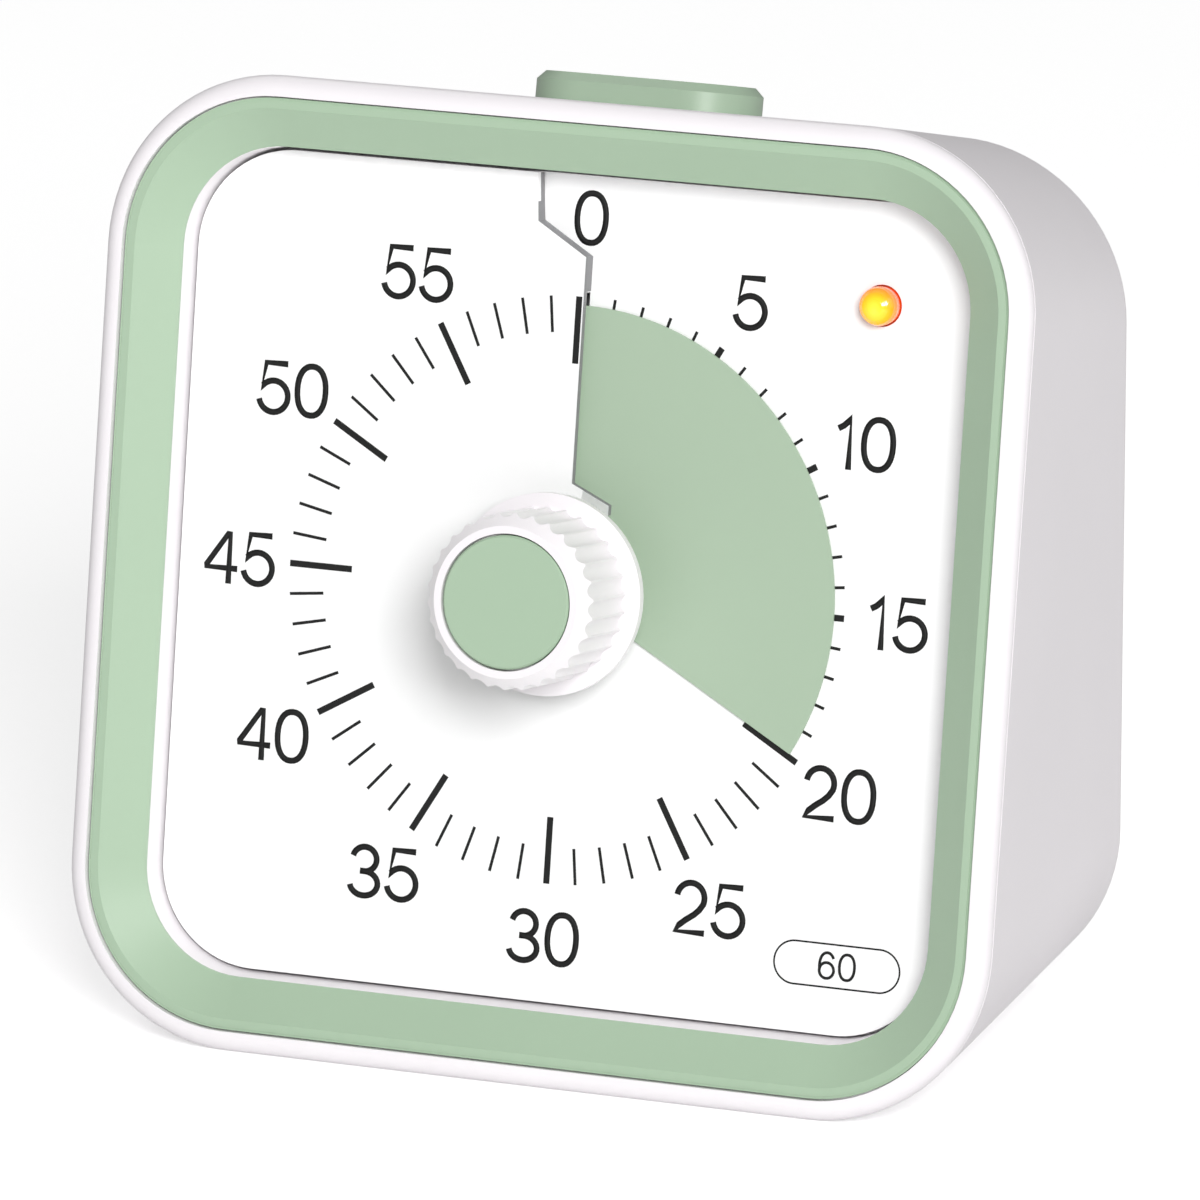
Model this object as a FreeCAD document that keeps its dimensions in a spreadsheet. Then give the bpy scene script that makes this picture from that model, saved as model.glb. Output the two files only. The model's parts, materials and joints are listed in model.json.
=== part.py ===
"""Visual countdown timer, built as a parametric assembly in millimetres.

The face leans back on a square case.  A knob in the middle of a helical dial turns a thin
helical time disc, which slides out from under the raised edge at twelve o'clock and shows
the minutes left.  Behind the dial sit a stepping motor with its wheel train, a circuit
board, a sounder, a top push button, a sound slide switch and two AAA cells.

Frames: FACE has x to the right, y up the leaning face and z towards the viewer, with its
origin where the knob's axis meets the mean dial plane.  REAR has x to the right, y up and
z forwards from the upright rear face.  ROOF lies on the sloping top, z outwards.
The model's own frame is +Z up, -Y to the front, its origin under the middle of the part.
"""
import FreeCAD, Part
import math
import os
import re

import Sketcher

SIZES = [
    ("face_size", 80.0, "outer width and height of the face"),
    ("face_corner", 14.6, "corner radius of the face"),
    ("base_trim", 0.02, "flat cut off the bottom of the face"),
    ("base_drop", 0.3, "how far the rear of the case reaches below the flat cut"),
    ("lean", 10.0, "angle the face leans back, degrees"),
    ("rear_depth", 32.0, "upright rear face behind the dial centre"),
    ("rear_width", 74.8, "width of the rear face"),
    ("rear_top", 32.7, "top of the rear face above the dial centre"),
    ("rear_corner", 14.4, "corner radius of the rear face"),
    ("rear_round", 2.0, "rounding of the rear edge"),
    ("round_steps", 6.0, "flat steps in that rounding"),
    ("wall", 1.8, "housing wall"),
    ("split_chamfer", 0.15, "small chamfer on both sides of the parting line"),
    ("spigot_depth", 2.4, "how far the front frame enters the housing"),
    ("spigot_gap", 0.1, "clearance round the spigot"),
    ("lip_width", 1.05, "housing lip outside the spigot"),
    ("rim_front", 5.75, "front of the white rim above the dial plane"),
    ("rim_round", 1.4, "rounding of the rim"),
    ("rim_split", 4.1, "parting line above the dial plane"),
    ("rim_width", 1.67, "width of the white rim"),
    ("channel_step", 0.83, "ledge that carries the bezel flange"),
    ("channel_floor", 2.5, "floor of the bezel channel above the dial plane"),
    ("frame_inner_wall", 1.3, "thickness of the white wall inside the bezel"),
    ("frame_draft", 0.25, "draft of that wall"),
    ("ledge_depth", 2.4, "ledge under the dial plate, behind the dial plane"),
    ("ledge_thick", 1.4, "thickness of that ledge"),
    ("ledge_half", 31.6, "half width of the ledge's opening"),
    ("bezel_gap", 0.13, "dark gap between rim and bezel"),
    ("bezel_front", 5.4, "front of the bezel lip above the dial plane"),
    ("bezel_strip", 0.35, "narrow outer strip of the bezel"),
    ("bezel_step", 0.1, "height of the lip over that strip"),
    ("bezel_lip", 0.65, "flat lip of the bezel"),
    ("bezel_flange", 0.65, "thickness of the bezel's outer flange"),
    ("bezel_slope", 3.2, "width of the sloping face of the bezel"),
    ("bezel_toe", 2.64, "bottom of the bezel's inner edge above the dial plane"),
    ("bezel_land", 0.3, "upright land at the bezel's inner edge"),
    ("bezel_skin", 1.0, "thickness of the bezel under its slope"),
    ("dial_gap", 0.15, "dark gap round the dial plate"),
    ("dial_pitch", 1.5, "rise of the dial and of the disc in one turn"),
    ("dial_thick", 0.6, "thickness of the dial plate"),
    ("dial_hole", 6.3, "radius of the dial's centre hole"),
    ("dial_post", 1.8, "radius of the posts under the dial"),
    ("dial_post_place", 29.6, "posts from the centre, both ways"),
    ("seam_reach", 4.43, "how far the seam runs left at the dial's edge"),
    ("seam_knee", 29.8, "height of the seam's outer knee"),
    ("seam_bend", 27.2, "height where the seam turns straight down"),
    ("seam_line", 0.3, "how far the straight seam lies right of the middle"),
    ("seam_tab", 3.6, "how far the raised tab runs right beside the knob"),
    ("film_radius", 23.2, "outer radius of the time disc"),
    ("film_thick", 0.2, "thickness of the time disc"),
    ("film_gap", 0.12, "clearance of the disc over the dial"),
    ("film_sweep", 356.0, "angle of the time disc, degrees"),
    ("set_angle", 119.25, "angle set, 20 minutes, degrees"),
    ("hub_radius", 5.2, "radius of the disc's hub"),
    ("hub_length", 2.1, "length of the disc's hub"),
    ("shaft_radius", 3.0, "radius of the knob shaft"),
    ("shaft_flat", 2.4, "flats from the axis"),
    ("shaft_fit", 0.05, "running clearance of shafts"),
    ("shaft_front", 10.0, "front end of the shaft"),
    ("pivot_radius", 1.5, "thin rear part of the knob shaft"),
    ("knob_radius", 7.15, "radius of the fluted barrel"),
    ("knob_front", 13.2, "front of the knob above the dial plane"),
    ("knob_edge", 12.1, "front edge of the flutes"),
    ("knob_face", 6.16, "radius of the knob's flat front"),
    ("knob_rear", 3.7, "rear of the knob above the dial plane"),
    ("flange_radius", 8.25, "radius of the knob's flange"),
    ("flange_thick", 0.8, "thickness of the knob's flange"),
    ("flute_count", 30.0, "flutes round the knob"),
    ("flute_radius", 0.85, "radius of one flute"),
    ("flute_depth", 0.32, "depth of one flute"),
    ("knob_wall", 1.5, "wall of the knob barrel"),
    ("cap_radius", 5.4, "radius of the green knob cap"),
    ("cap_groove", 0.15, "dark groove round the cap"),
    ("cap_thick", 1.2, "thickness of the knob cap"),
    ("led_place", 25.4, "indicator light from the centre, both ways"),
    ("led_radius", 1.6, "radius of the indicator light"),
    ("led_height", 1.3, "dome of the light above its collar"),
    ("plate_front", 4.2, "front of the movement plate, behind the dial plane"),
    ("plate_thick", 1.6, "thickness of the movement plate"),
    ("plate_half", 35.6, "half width of the movement plate"),
    ("case_half", 25.0, "half width of the movement cover"),
    ("case_depth", 16.4, "rear of the movement cover, behind the dial plane"),
    ("case_wall", 1.2, "wall of the movement cover"),
    ("wheel_teeth", 60.0, "teeth of each wheel"),
    ("pinion_teeth", 10.0, "teeth of each pinion"),
    ("centre_module", 0.3, "module of the centre wheel"),
    ("second_module", 0.25, "module of the second wheel"),
    ("first_module", 0.2, "module of the first wheel"),
    ("wheel_thick", 0.9, "thickness of the wheels"),
    ("arbor_radius", 0.6, "radius of the wheel arbors"),
    ("pivot_fit", 0.04, "running clearance of the arbors"),
    ("magnet_radius", 2.6, "rotor magnet radius"),
    ("coil_radius", 3.4, "motor coil radius"),
    ("board_front", 16.8, "main board, behind the dial plane"),
    ("board_thick", 1.6, "thickness of the circuit boards"),
    ("board_width", 46.0, "width of the main board"),
    ("board_height", 36.0, "height of the main board"),
    ("cell_radius", 5.25, "AAA cell radius"),
    ("cell_length", 44.5, "AAA cell length"),
    ("spring_room", 6.5, "length of the tray beyond a cell"),
    ("cell_room", 1.6, "height of the tray beyond the two cells"),
    ("cell_cover", 2.1, "depth of the tray beyond a cell, from the rear face"),
    ("tray_wall", 1.3, "wall of the battery tray"),
    ("tray_drop", 22.3, "tray centre below the dial centre"),
    ("spring_wire", 0.25, "half thickness of the battery springs' wire"),
    ("door_gap", 0.2, "gap round the battery door"),
    ("door_thick", 1.6, "thickness of the battery door"),
    ("tower_radius", 2.6, "radius of the screw towers"),
    ("tower_place", 31.3, "screw towers to each side"),
    ("tower_high", 24.0, "upper towers above the dial centre"),
    ("tower_low", 18.1, "lower towers below the dial centre"),
    ("screw_radius", 1.0, "radius of the case screws"),
    ("head_radius", 1.9, "radius of the case screw heads"),
    ("head_height", 1.4, "height of the case screw heads"),
    ("head_sink", 5.0, "depth of the screw heads in the rear face"),
    ("button_length", 19.2, "length of the top button"),
    ("button_width", 10.0, "width of the top button"),
    ("button_proud", 2.4, "top button above the roof"),
    ("button_back", 18.7, "top button behind the dial centre"),
    ("button_gap", 0.2, "gap round the top button"),
    ("button_flange", 1.3, "width of the flange that keeps the button in"),
    ("button_travel", 0.8, "travel of the top button"),
    ("button_stem", 4.6, "length of the button's stem under the roof"),
    ("post_place", 12.5, "posts of the button board to each side"),
    ("switch_x", -14.0, "sound switch, to the right of centre"),
    ("switch_up", 13.0, "sound switch above the dial centre"),
    ("switch_travel", 2.0, "sound switch travel each way"),
    ("slider_width", 4.0, "width of the switch's slider"),
    ("slider_height", 2.6, "height of the switch's slider"),
    ("sounder_x", 12.0, "sounder, to the right of centre"),
    ("sounder_up", 12.0, "sounder above the dial centre"),
    ("sounder_radius", 8.5, "radius of the sounder"),
    ("sounder_depth", 4.5, "depth of the sounder"),
    ("grille_hole", 0.8, "radius of the grille holes"),
    ("grille_ring", 4.0, "radius of the ring of grille holes"),
    ("grille_count", 8.0, "holes in that ring"),
]

V = FreeCAD.Vector
X_AXIS = V(1, 0, 0)
Z_AXIS = V(0, 0, 1)

doc = FreeCAD.newDocument("visual_timer")
sheet = doc.addObject("Spreadsheet::Sheet", "Sizes")
for row, (alias, value, note) in enumerate(SIZES, 1):
    sheet.set(f"A{row}", note)
    sheet.set(f"B{row}", str(value))
    sheet.setAlias(f"B{row}", alias)
doc.recompute()

probe = doc.addObject("App::FeaturePython", "Probe")
probe.addProperty("App::PropertyFloat", "Value")
ALIASES = {alias for alias, value, note in SIZES}
# The battery tray and the distance between the cells follow from the cells.
DERIVED = {
    "tray_length": "(cell_length + spring_room)",
    "tray_height": "(cell_radius * 4 + cell_room)",
    "tray_depth": "(cell_radius * 2 + cell_cover)",
    "cell_pitch": "(tray_height / 2 - 0.1)",
}
nodes = []


def bound(expression):
    """The expression with each size name pointing at the sheet."""
    def refer(word):
        name = word.group()
        if name in DERIVED:
            return bound(DERIVED[name])
        return "Sizes." + name if name in ALIASES else name

    return re.sub(r"[a-z_]\w*", refer, str(expression))


def mm(expression):
    """The number an expression gives now."""
    probe.setExpression("Value", bound(expression))
    probe.recompute()
    return probe.Value


def spot(x, y, z, turn=0.0, axis=X_AXIS):
    """A placement from three expressions and a turn in degrees."""
    return FreeCAD.Placement(V(mm(x), mm(y), mm(z)), FreeCAD.Rotation(axis, mm(turn)))


FACE_HALF = "face_size / 2"
DIAL_UP = f"({FACE_HALF} * cos(lean) - rim_split * sin(lean) - base_trim)"
REACH = "(knob_front * cos(lean) + knob_face * sin(lean))"
DIAL_BACK = f"(({REACH} - rear_depth) / 2)"
ROOF_FRONT_Y = f"({FACE_HALF} * sin(lean) - rim_split * cos(lean))"
ROOF_FRONT_Z = f"({FACE_HALF} * cos(lean) + rim_split * sin(lean))"
ROOF_FALL = f"(({ROOF_FRONT_Z} - rear_top) / (rear_depth - {ROOF_FRONT_Y}))"
SIDE_FALL = f"(({FACE_HALF} - rear_width / 2) / rear_depth)"
ROOF_UP = f"({ROOF_FRONT_Z} - (button_back - {ROOF_FRONT_Y}) * {ROOF_FALL})"
OPENING_HALF = f"({FACE_HALF} - rim_width - bezel_strip - bezel_lip - bezel_slope)"
DIAL_HALF = f"({OPENING_HALF} - frame_draft - dial_gap)"
HALF_CORNER = f"(face_corner - {FACE_HALF})"

FACE = spot(0, DIAL_BACK, DIAL_UP, "90 - lean")
REAR = spot(0, f"{DIAL_BACK} + rear_depth", DIAL_UP, 90)
ROOF = spot(0, f"{DIAL_BACK} + button_back", f"{DIAL_UP} + {ROOF_UP}",
            -math.degrees(math.atan(mm(ROOF_FALL))))
BASE_IN_FACE = FACE.inverse()
REAR_IN_FACE = FACE.inverse().multiply(REAR)
ROOF_IN_FACE = FACE.inverse().multiply(ROOF)


def node(item, name):
    """Name an object after its node and keep it for writing."""
    item.Label = name
    nodes.append(item)
    return item


def new_body(name, placement):
    """An empty body in its place."""
    body = doc.addObject("PartDesign::Body", name)
    body.Placement = placement
    return node(body, name)


def origin_part(body, role):
    """One plane or axis of a body's origin."""
    return next(item for item in body.Origin.OriginFeatures if item.Role == role)


def new_sketch(body, z=0, plane="XY_Plane", offset=None):
    """A sketch on an origin plane, raised by z or set by a whole offset."""
    sketch = body.newObject("Sketcher::SketchObject", "Sketch")
    sketch.AttachmentSupport = [(origin_part(body, plane), "")]
    sketch.MapMode = "FlatFace"
    if offset is None:
        sketch.AttachmentOffset = spot(0, 0, z)
        sketch.setExpression("AttachmentOffset.Base.z", bound(z))
    else:
        sketch.AttachmentOffset = offset.multiply(spot(0, 0, z))
    return sketch


def pin_point(sketch, curve, end, x, y):
    """Tie a point of the sketch to two sizes."""
    for kind, size in (("DistanceX", x), ("DistanceY", y)):
        index = sketch.addConstraint(Sketcher.Constraint(kind, -1, 1, curve, end, mm(size)))
        sketch.setExpression(f"Constraints[{index}]", bound(size))


def draw_circle(sketch, radius, x=0, y=0):
    """A circle with its centre and radius tied to sizes."""
    curve = sketch.addGeometry(Part.Circle(V(mm(x), mm(y), 0), Z_AXIS, mm(radius)))
    pin_point(sketch, curve, 3, x, y)
    index = sketch.addConstraint(Sketcher.Constraint("Radius", curve, mm(radius)))
    sketch.setExpression(f"Constraints[{index}]", bound(radius))


def draw_polygon(sketch, points):
    """A closed outline through tied points; a third value rounds that corner."""
    corners = [V(mm(x), mm(y), 0) for x, y, *rounding in points]
    first = sketch.GeometryCount
    count = len(corners)
    starts, ends, arcs = [], [], []
    for i, corner in enumerate(corners):
        radius = mm(points[i][2]) if len(points[i]) > 2 else 0.0
        if not radius:
            starts.append(corner)
            ends.append(corner)
            arcs.append(None)
            continue
        before = (corners[i - 1] - corner).normalize()
        after = (corners[(i + 1) % count] - corner).normalize()
        half = before.getAngle(after) / 2
        bisector = (before + after).normalize()
        centre = corner + bisector * (radius / math.sin(half))
        reach = radius / math.tan(half)
        ends.append(corner + before * reach)
        starts.append(corner + after * reach)
        arcs.append(centre - bisector * radius)
    for i in range(count):
        after = (i + 1) % count
        sketch.addGeometry(Part.LineSegment(starts[i], ends[after]))
        if arcs[after]:
            sketch.addGeometry(Part.Arc(ends[after], arcs[after], starts[after]))
    if any(arcs):
        return
    for i in range(count):
        after = first + (i + 1) % count
        sketch.addConstraint(Sketcher.Constraint("Coincident", first + i, 2, after, 1))
        pin_point(sketch, first + i, 1, *points[i])


def draw_rectangle(sketch, width, height, x=0, y=0):
    """A rectangle about a point."""
    left, right = f"({x}) - ({width}) / 2", f"({x}) + ({width}) / 2"
    low, high = f"({y}) - ({height}) / 2", f"({y}) + ({height}) / 2"
    draw_polygon(sketch, [(left, low), (right, low), (right, high), (left, high)])


def draw_rounded(sketch, half_x, low, high, corner, split=False):
    """A rounded rectangle, symmetric about the y axis; split starts it halfway up a side."""
    side, base, top, turn = mm(half_x), mm(low), mm(high), mm(corner)
    inner = side - turn
    bend = turn * math.sqrt(0.5)
    middle = (base + top) / 2
    upper, lower = top - turn, base + turn
    side_start = middle if split else lower
    curves = [
        Part.LineSegment(V(side, side_start, 0), V(side, upper, 0)),
        Part.Arc(V(side, upper, 0), V(inner + bend, upper + bend, 0), V(inner, top, 0)),
        Part.LineSegment(V(inner, top, 0), V(-inner, top, 0)),
        Part.Arc(V(-inner, top, 0), V(-inner - bend, upper + bend, 0), V(-side, upper, 0)),
        Part.LineSegment(V(-side, upper, 0), V(-side, lower, 0)),
        Part.Arc(V(-side, lower, 0), V(-inner - bend, lower - bend, 0), V(-inner, base, 0)),
        Part.LineSegment(V(-inner, base, 0), V(inner, base, 0)),
        Part.Arc(V(inner, base, 0), V(inner + bend, lower - bend, 0), V(side, lower, 0)),
    ]
    if split:
        curves.append(Part.LineSegment(V(side, lower, 0), V(side, middle, 0)))
    for curve in curves:
        sketch.addGeometry(curve)


def draw_square(sketch, half, split=False):
    """A rounded square whose corners run parallel to the face's corners."""
    draw_rounded(sketch, half, f"0 - ({half})", half, f"({half}) + {HALF_CORNER}", split)


def draw_pill(sketch, length, width):
    """A bar with round ends."""
    end, radius = mm(length) / 2 - mm(width) / 2, mm(width) / 2
    sketch.addGeometry(Part.LineSegment(V(-end, -radius, 0), V(end, -radius, 0)))
    sketch.addGeometry(Part.Arc(V(end, -radius, 0), V(end + radius, 0, 0), V(end, radius, 0)))
    sketch.addGeometry(Part.LineSegment(V(end, radius, 0), V(-end, radius, 0)))
    sketch.addGeometry(Part.Arc(V(-end, radius, 0), V(-end - radius, 0, 0), V(-end, -radius, 0)))


def extrude(body, sketch, length, kind="Pad", back=False):
    """Pad or pocket a sketch; back turns it to the sketch's rear side."""
    before = body.Shape.Volume if body.Tip else 0.0
    feature = body.newObject(f"PartDesign::{kind}", kind)
    feature.Profile = sketch
    feature.Length = mm(length)
    feature.setExpression("Length", bound(length))
    feature.Reversed = back if kind == "Pad" else not back
    doc.recompute()
    change = body.Shape.Volume - before
    if (change <= 0) == (kind == "Pad"):
        raise RuntimeError(f"{body.Label}: {kind} {feature.Name} changed the volume by {change}")
    return feature


def pad(body, sketch, length, back=False):
    return extrude(body, sketch, length, "Pad", back)


def pocket(body, sketch, length, back=False):
    return extrude(body, sketch, length, "Pocket", back)


def revolve(body, points, kind="Revolution"):
    """Turn a section of radius and height about the body's z axis."""
    section = new_sketch(body, plane="XZ_Plane")
    draw_polygon(section, points)
    feature = body.newObject(f"PartDesign::{kind}", kind)
    feature.Profile = section
    feature.ReferenceAxis = (origin_part(body, "Z_Axis"), [""])
    feature.Angle = 360
    doc.recompute()
    return feature


def polar(body, feature, count):
    """Repeat a feature round the z axis."""
    pattern = body.newObject("PartDesign::PolarPattern", "Pattern")
    pattern.Originals = [feature]
    pattern.Axis = (origin_part(body, "Z_Axis"), [""])
    pattern.Angle = 360
    pattern.Occurrences = round(mm(count))
    pattern.setExpression("Occurrences", bound(count))
    body.Tip = pattern
    doc.recompute()
    return pattern


def frame_sweep(body, half, section_points):
    """Carry a section, given as half width and height, round a rounded square."""
    path = new_sketch(body)
    draw_square(path, half, split=True)
    section = new_sketch(body, plane="XZ_Plane")
    draw_polygon(section, section_points)
    pipe = body.newObject("PartDesign::AdditivePipe", "Pipe")
    pipe.Profile = section
    pipe.Spine = (path, [])
    doc.recompute()
    return pipe


def helical_ramp(body, inner, outer, low, high, start, sweep):
    """A ramp that rises clockwise, seen from the front, by the dial's pitch in a turn."""
    turned = FreeCAD.Placement(V(0, 0, 0), FreeCAD.Rotation(V(0, 1, 0), mm(start)))
    section = new_sketch(body, plane="XZ_Plane", offset=turned)
    draw_polygon(section, [(inner, low), (outer, low), (outer, high), (inner, high)])
    helix = body.newObject("PartDesign::AdditiveHelix", "Helix")
    helix.Profile = section
    helix.ReferenceAxis = (origin_part(body, "Z_Axis"), [""])
    helix.Mode = "pitch-turns-angle"
    helix.setExpression("Pitch", bound("dial_pitch"))
    helix.setExpression("Turns", bound(f"({sweep}) / 360"))
    helix.LeftHanded = True
    doc.recompute()
    return helix


def box(name, frame, width, depth, height, x=0, y=0, z=0, keep=True):
    """A box centred on x and y that rises from z."""
    item = doc.addObject("Part::Box", name)
    for field, size in (("Length", width), ("Width", depth), ("Height", height)):
        item.setExpression(field, bound(size))
    item.Placement = frame.multiply(spot(f"({x}) - ({width}) / 2", f"({y}) - ({depth}) / 2", z))
    return node(item, name) if keep else item


def cylinder(name, frame, radius, height, x=0, y=0, z=0, keep=True):
    """A cylinder that rises from z."""
    item = doc.addObject("Part::Cylinder", name)
    item.setExpression("Radius", bound(radius))
    item.setExpression("Height", bound(height))
    item.Placement = frame.multiply(spot(x, y, z))
    return node(item, name) if keep else item


def join(name, pieces, kind="Part::MultiFuse"):
    """One solid from several, or a group of separate solids as a compound."""
    item = doc.addObject(kind, name)
    if kind == "Part::Compound":
        item.Links = pieces
    else:
        item.Shapes = pieces
    return node(item, name)


def cut(name, base, tool, keep=True):
    item = doc.addObject("Part::Cut", name)
    item.Base = base
    item.Tool = tool
    return node(item, name) if keep else item


def loose(name, shape, frame):
    """A node whose shape comes straight from a formula."""
    item = doc.addObject("Part::Feature", name)
    item.Shape = shape
    item.Placement = frame.multiply(shape.Placement)
    return node(item, name)


def seam_points():
    """The line along which the dial's raised edge is cut, from its rim to the knob."""
    return [("0 - seam_reach", f"{DIAL_HALF} + 2"), ("0 - seam_reach + 0.4", "seam_knee"),
            ("seam_line", "seam_bend"), ("seam_line", "hub_radius + seam_tab"),
            ("seam_tab", "dial_hole + 1"), ("seam_tab", "dial_hole - 1.5")]


def front_frame():
    """White rim, bezel channel, inner wall and the ledge behind the dial, in one moulding."""
    body = new_body("front_frame", FACE)
    outer = FACE_HALF
    seam = f"({outer} - rim_width)"
    channel = f"({seam} - channel_step)"
    spigot = f"({outer} - lip_width - spigot_gap)"
    flange = "(bezel_front - bezel_step - bezel_flange)"
    frame_sweep(body, outer, [
        (f"{outer} - split_chamfer", "rim_split"), (outer, "rim_split + split_chamfer"),
        (outer, "rim_front", "rim_round"), (seam, "rim_front"), (seam, flange), (channel, flange),
        (channel, "channel_floor"), (f"{OPENING_HALF} + frame_inner_wall", "channel_floor"),
        (f"{OPENING_HALF} + frame_inner_wall", "bezel_toe"), (OPENING_HALF, "bezel_toe"),
        (f"{OPENING_HALF} - frame_draft", "0 - ledge_depth"), ("ledge_half", "0 - ledge_depth"),
        ("ledge_half", "0 - ledge_depth - ledge_thick"),
        (f"{channel} - 1.2", "0 - ledge_depth - ledge_thick"),
        (f"{channel} - 1.2", "rim_split - spigot_depth"),
        (spigot, "rim_split - spigot_depth"), (spigot, "rim_split")])
    for side in (-1, 1):
        for up in ("tower_high", "0 - tower_low"):
            boss = new_sketch(body, "0 - plate_front")
            draw_circle(boss, "tower_radius", f"{side} * tower_place", up)
            pad(body, boss, "plate_front - ledge_depth")
            pilot = new_sketch(body, "0 - plate_front")
            draw_circle(pilot, "screw_radius - 0.15", f"{side} * tower_place", up)
            pocket(body, pilot, "plate_front - ledge_depth")
    return body


def bezel_ring():
    """Green trim ring that lies in the frame's channel."""
    body = new_body("bezel_ring", FACE)
    outer = f"({FACE_HALF} - rim_width - bezel_gap)"
    lip = f"({FACE_HALF} - rim_width - bezel_strip)"
    crest = f"({lip} - bezel_lip)"
    inner = OPENING_HALF
    flange = "(bezel_front - bezel_step - bezel_flange)"
    ledge = f"({outer} - channel_step - bezel_gap)"
    rise = "(bezel_front - bezel_toe - bezel_land)"
    frame_sweep(body, outer, [
        (outer, flange), (outer, "bezel_front - bezel_step"), (lip, "bezel_front - bezel_step"),
        (lip, "bezel_front"), (crest, "bezel_front"), (inner, "bezel_toe + bezel_land"),
        (inner, "bezel_toe"), (f"{inner} + frame_inner_wall", "bezel_toe"),
        (f"{ledge} - bezel_skin", f"{flange} - bezel_skin + 0.3"), (ledge, f"{flange} - bezel_skin"),
        (ledge, flange)])
    return body


def dial_plate():
    """Dial that climbs once round, open along a slit from the hub to the disc's edge."""
    body = new_body("dial_plate", FACE)
    lap = 9.0
    low_end = f"(0 - dial_pitch / 2 - dial_pitch * {lap} / 360)"
    helical_ramp(body, "dial_hole", f"{DIAL_HALF} * 1.4", f"{low_end} - dial_thick", low_end,
                 90 + lap, 360 + 2 * lap)
    outline = new_sketch(body, "0 - dial_pitch * 2")
    draw_rectangle(outline, "face_size * 1.6", "face_size * 1.6")
    draw_square(outline, DIAL_HALF)
    pocket(body, outline, "dial_pitch * 4")
    left = new_sketch(body, "0 - dial_pitch * 2")
    draw_polygon(left, [("0 - dial_hole - 6", f"{DIAL_HALF} + 2")] + seam_points()
                 + [("0 - 1.5", "dial_hole - 1.5"), ("0 - dial_hole - 6", "seam_knee")])
    pocket(body, left, "dial_pitch * 2 - dial_pitch / 4")
    right = new_sketch(body, "0 - dial_pitch / 8")
    draw_polygon(right, seam_points() + [("dial_hole + 1", "dial_hole - 1.5"),
                                         ("dial_hole + 6", f"{DIAL_HALF} + 2")])
    pocket(body, right, "dial_pitch * 2")
    riser = new_sketch(body, "0 - dial_pitch / 2 - dial_thick")
    seam = seam_points()
    outer_seam = [("0 - seam_reach + 0.05", DIAL_HALF), *seam[1:3], ("seam_line", "film_radius + 1.1")]
    inner_seam = [(f"({x}) - 0.8", y) for x, y in reversed(outer_seam)]
    draw_polygon(riser, outer_seam + inner_seam)
    pad(body, riser, "dial_pitch / 2 + dial_thick + dial_pitch / 4")
    for side in (-1, 1):
        for up in (-1, 1):
            clockwise = math.degrees(math.atan2(side, up)) % 360
            post = new_sketch(body, "0 - ledge_depth")
            draw_circle(post, "dial_post", f"{side} * dial_post_place", f"{up} * dial_post_place")
            rise = f"dial_pitch * {clockwise} / 360 - dial_pitch / 2 - dial_thick / 2"
            pad(body, post, f"ledge_depth + {rise}")
    light = new_sketch(body, "0 - dial_pitch * 2")
    draw_circle(light, "led_radius + 0.1", "led_place", "led_place")
    pocket(body, light, "dial_pitch * 4")
    return body


def time_disc():
    """Green helical disc on its hub; it lies over the dial from 0 to the minutes set."""
    body = new_body("time_disc", FACE)
    tail = "(90 + film_sweep - set_angle)"
    under = "(0 - dial_pitch / 2 + film_gap + dial_pitch * (set_angle - film_sweep) / 360)"
    helical_ramp(body, "hub_radius - 0.4", "film_radius", under, f"{under} + film_thick",
                 tail, "film_sweep")
    hub = new_sketch(body, f"{under} - 0.2")
    draw_circle(hub, "hub_radius")
    pad(body, hub, "hub_length")
    bore = new_sketch(body, f"{under} - 0.2")
    draw_flatted(bore, "shaft_radius + shaft_fit", "shaft_flat + shaft_fit")
    pocket(body, bore, "hub_length")
    return body


def draw_flatted(sketch, radius, flat):
    """A circle cut by two flats above and below."""
    arm, edge = mm(radius), mm(flat)
    reach = math.sqrt(arm * arm - edge * edge)
    sketch.addGeometry(Part.LineSegment(V(-reach, -edge, 0), V(reach, -edge, 0)))
    sketch.addGeometry(Part.Arc(V(reach, -edge, 0), V(arm, 0, 0), V(reach, edge, 0)))
    sketch.addGeometry(Part.LineSegment(V(reach, edge, 0), V(-reach, edge, 0)))
    sketch.addGeometry(Part.Arc(V(-reach, edge, 0), V(-arm, 0, 0), V(-reach, -edge, 0)))


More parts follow.
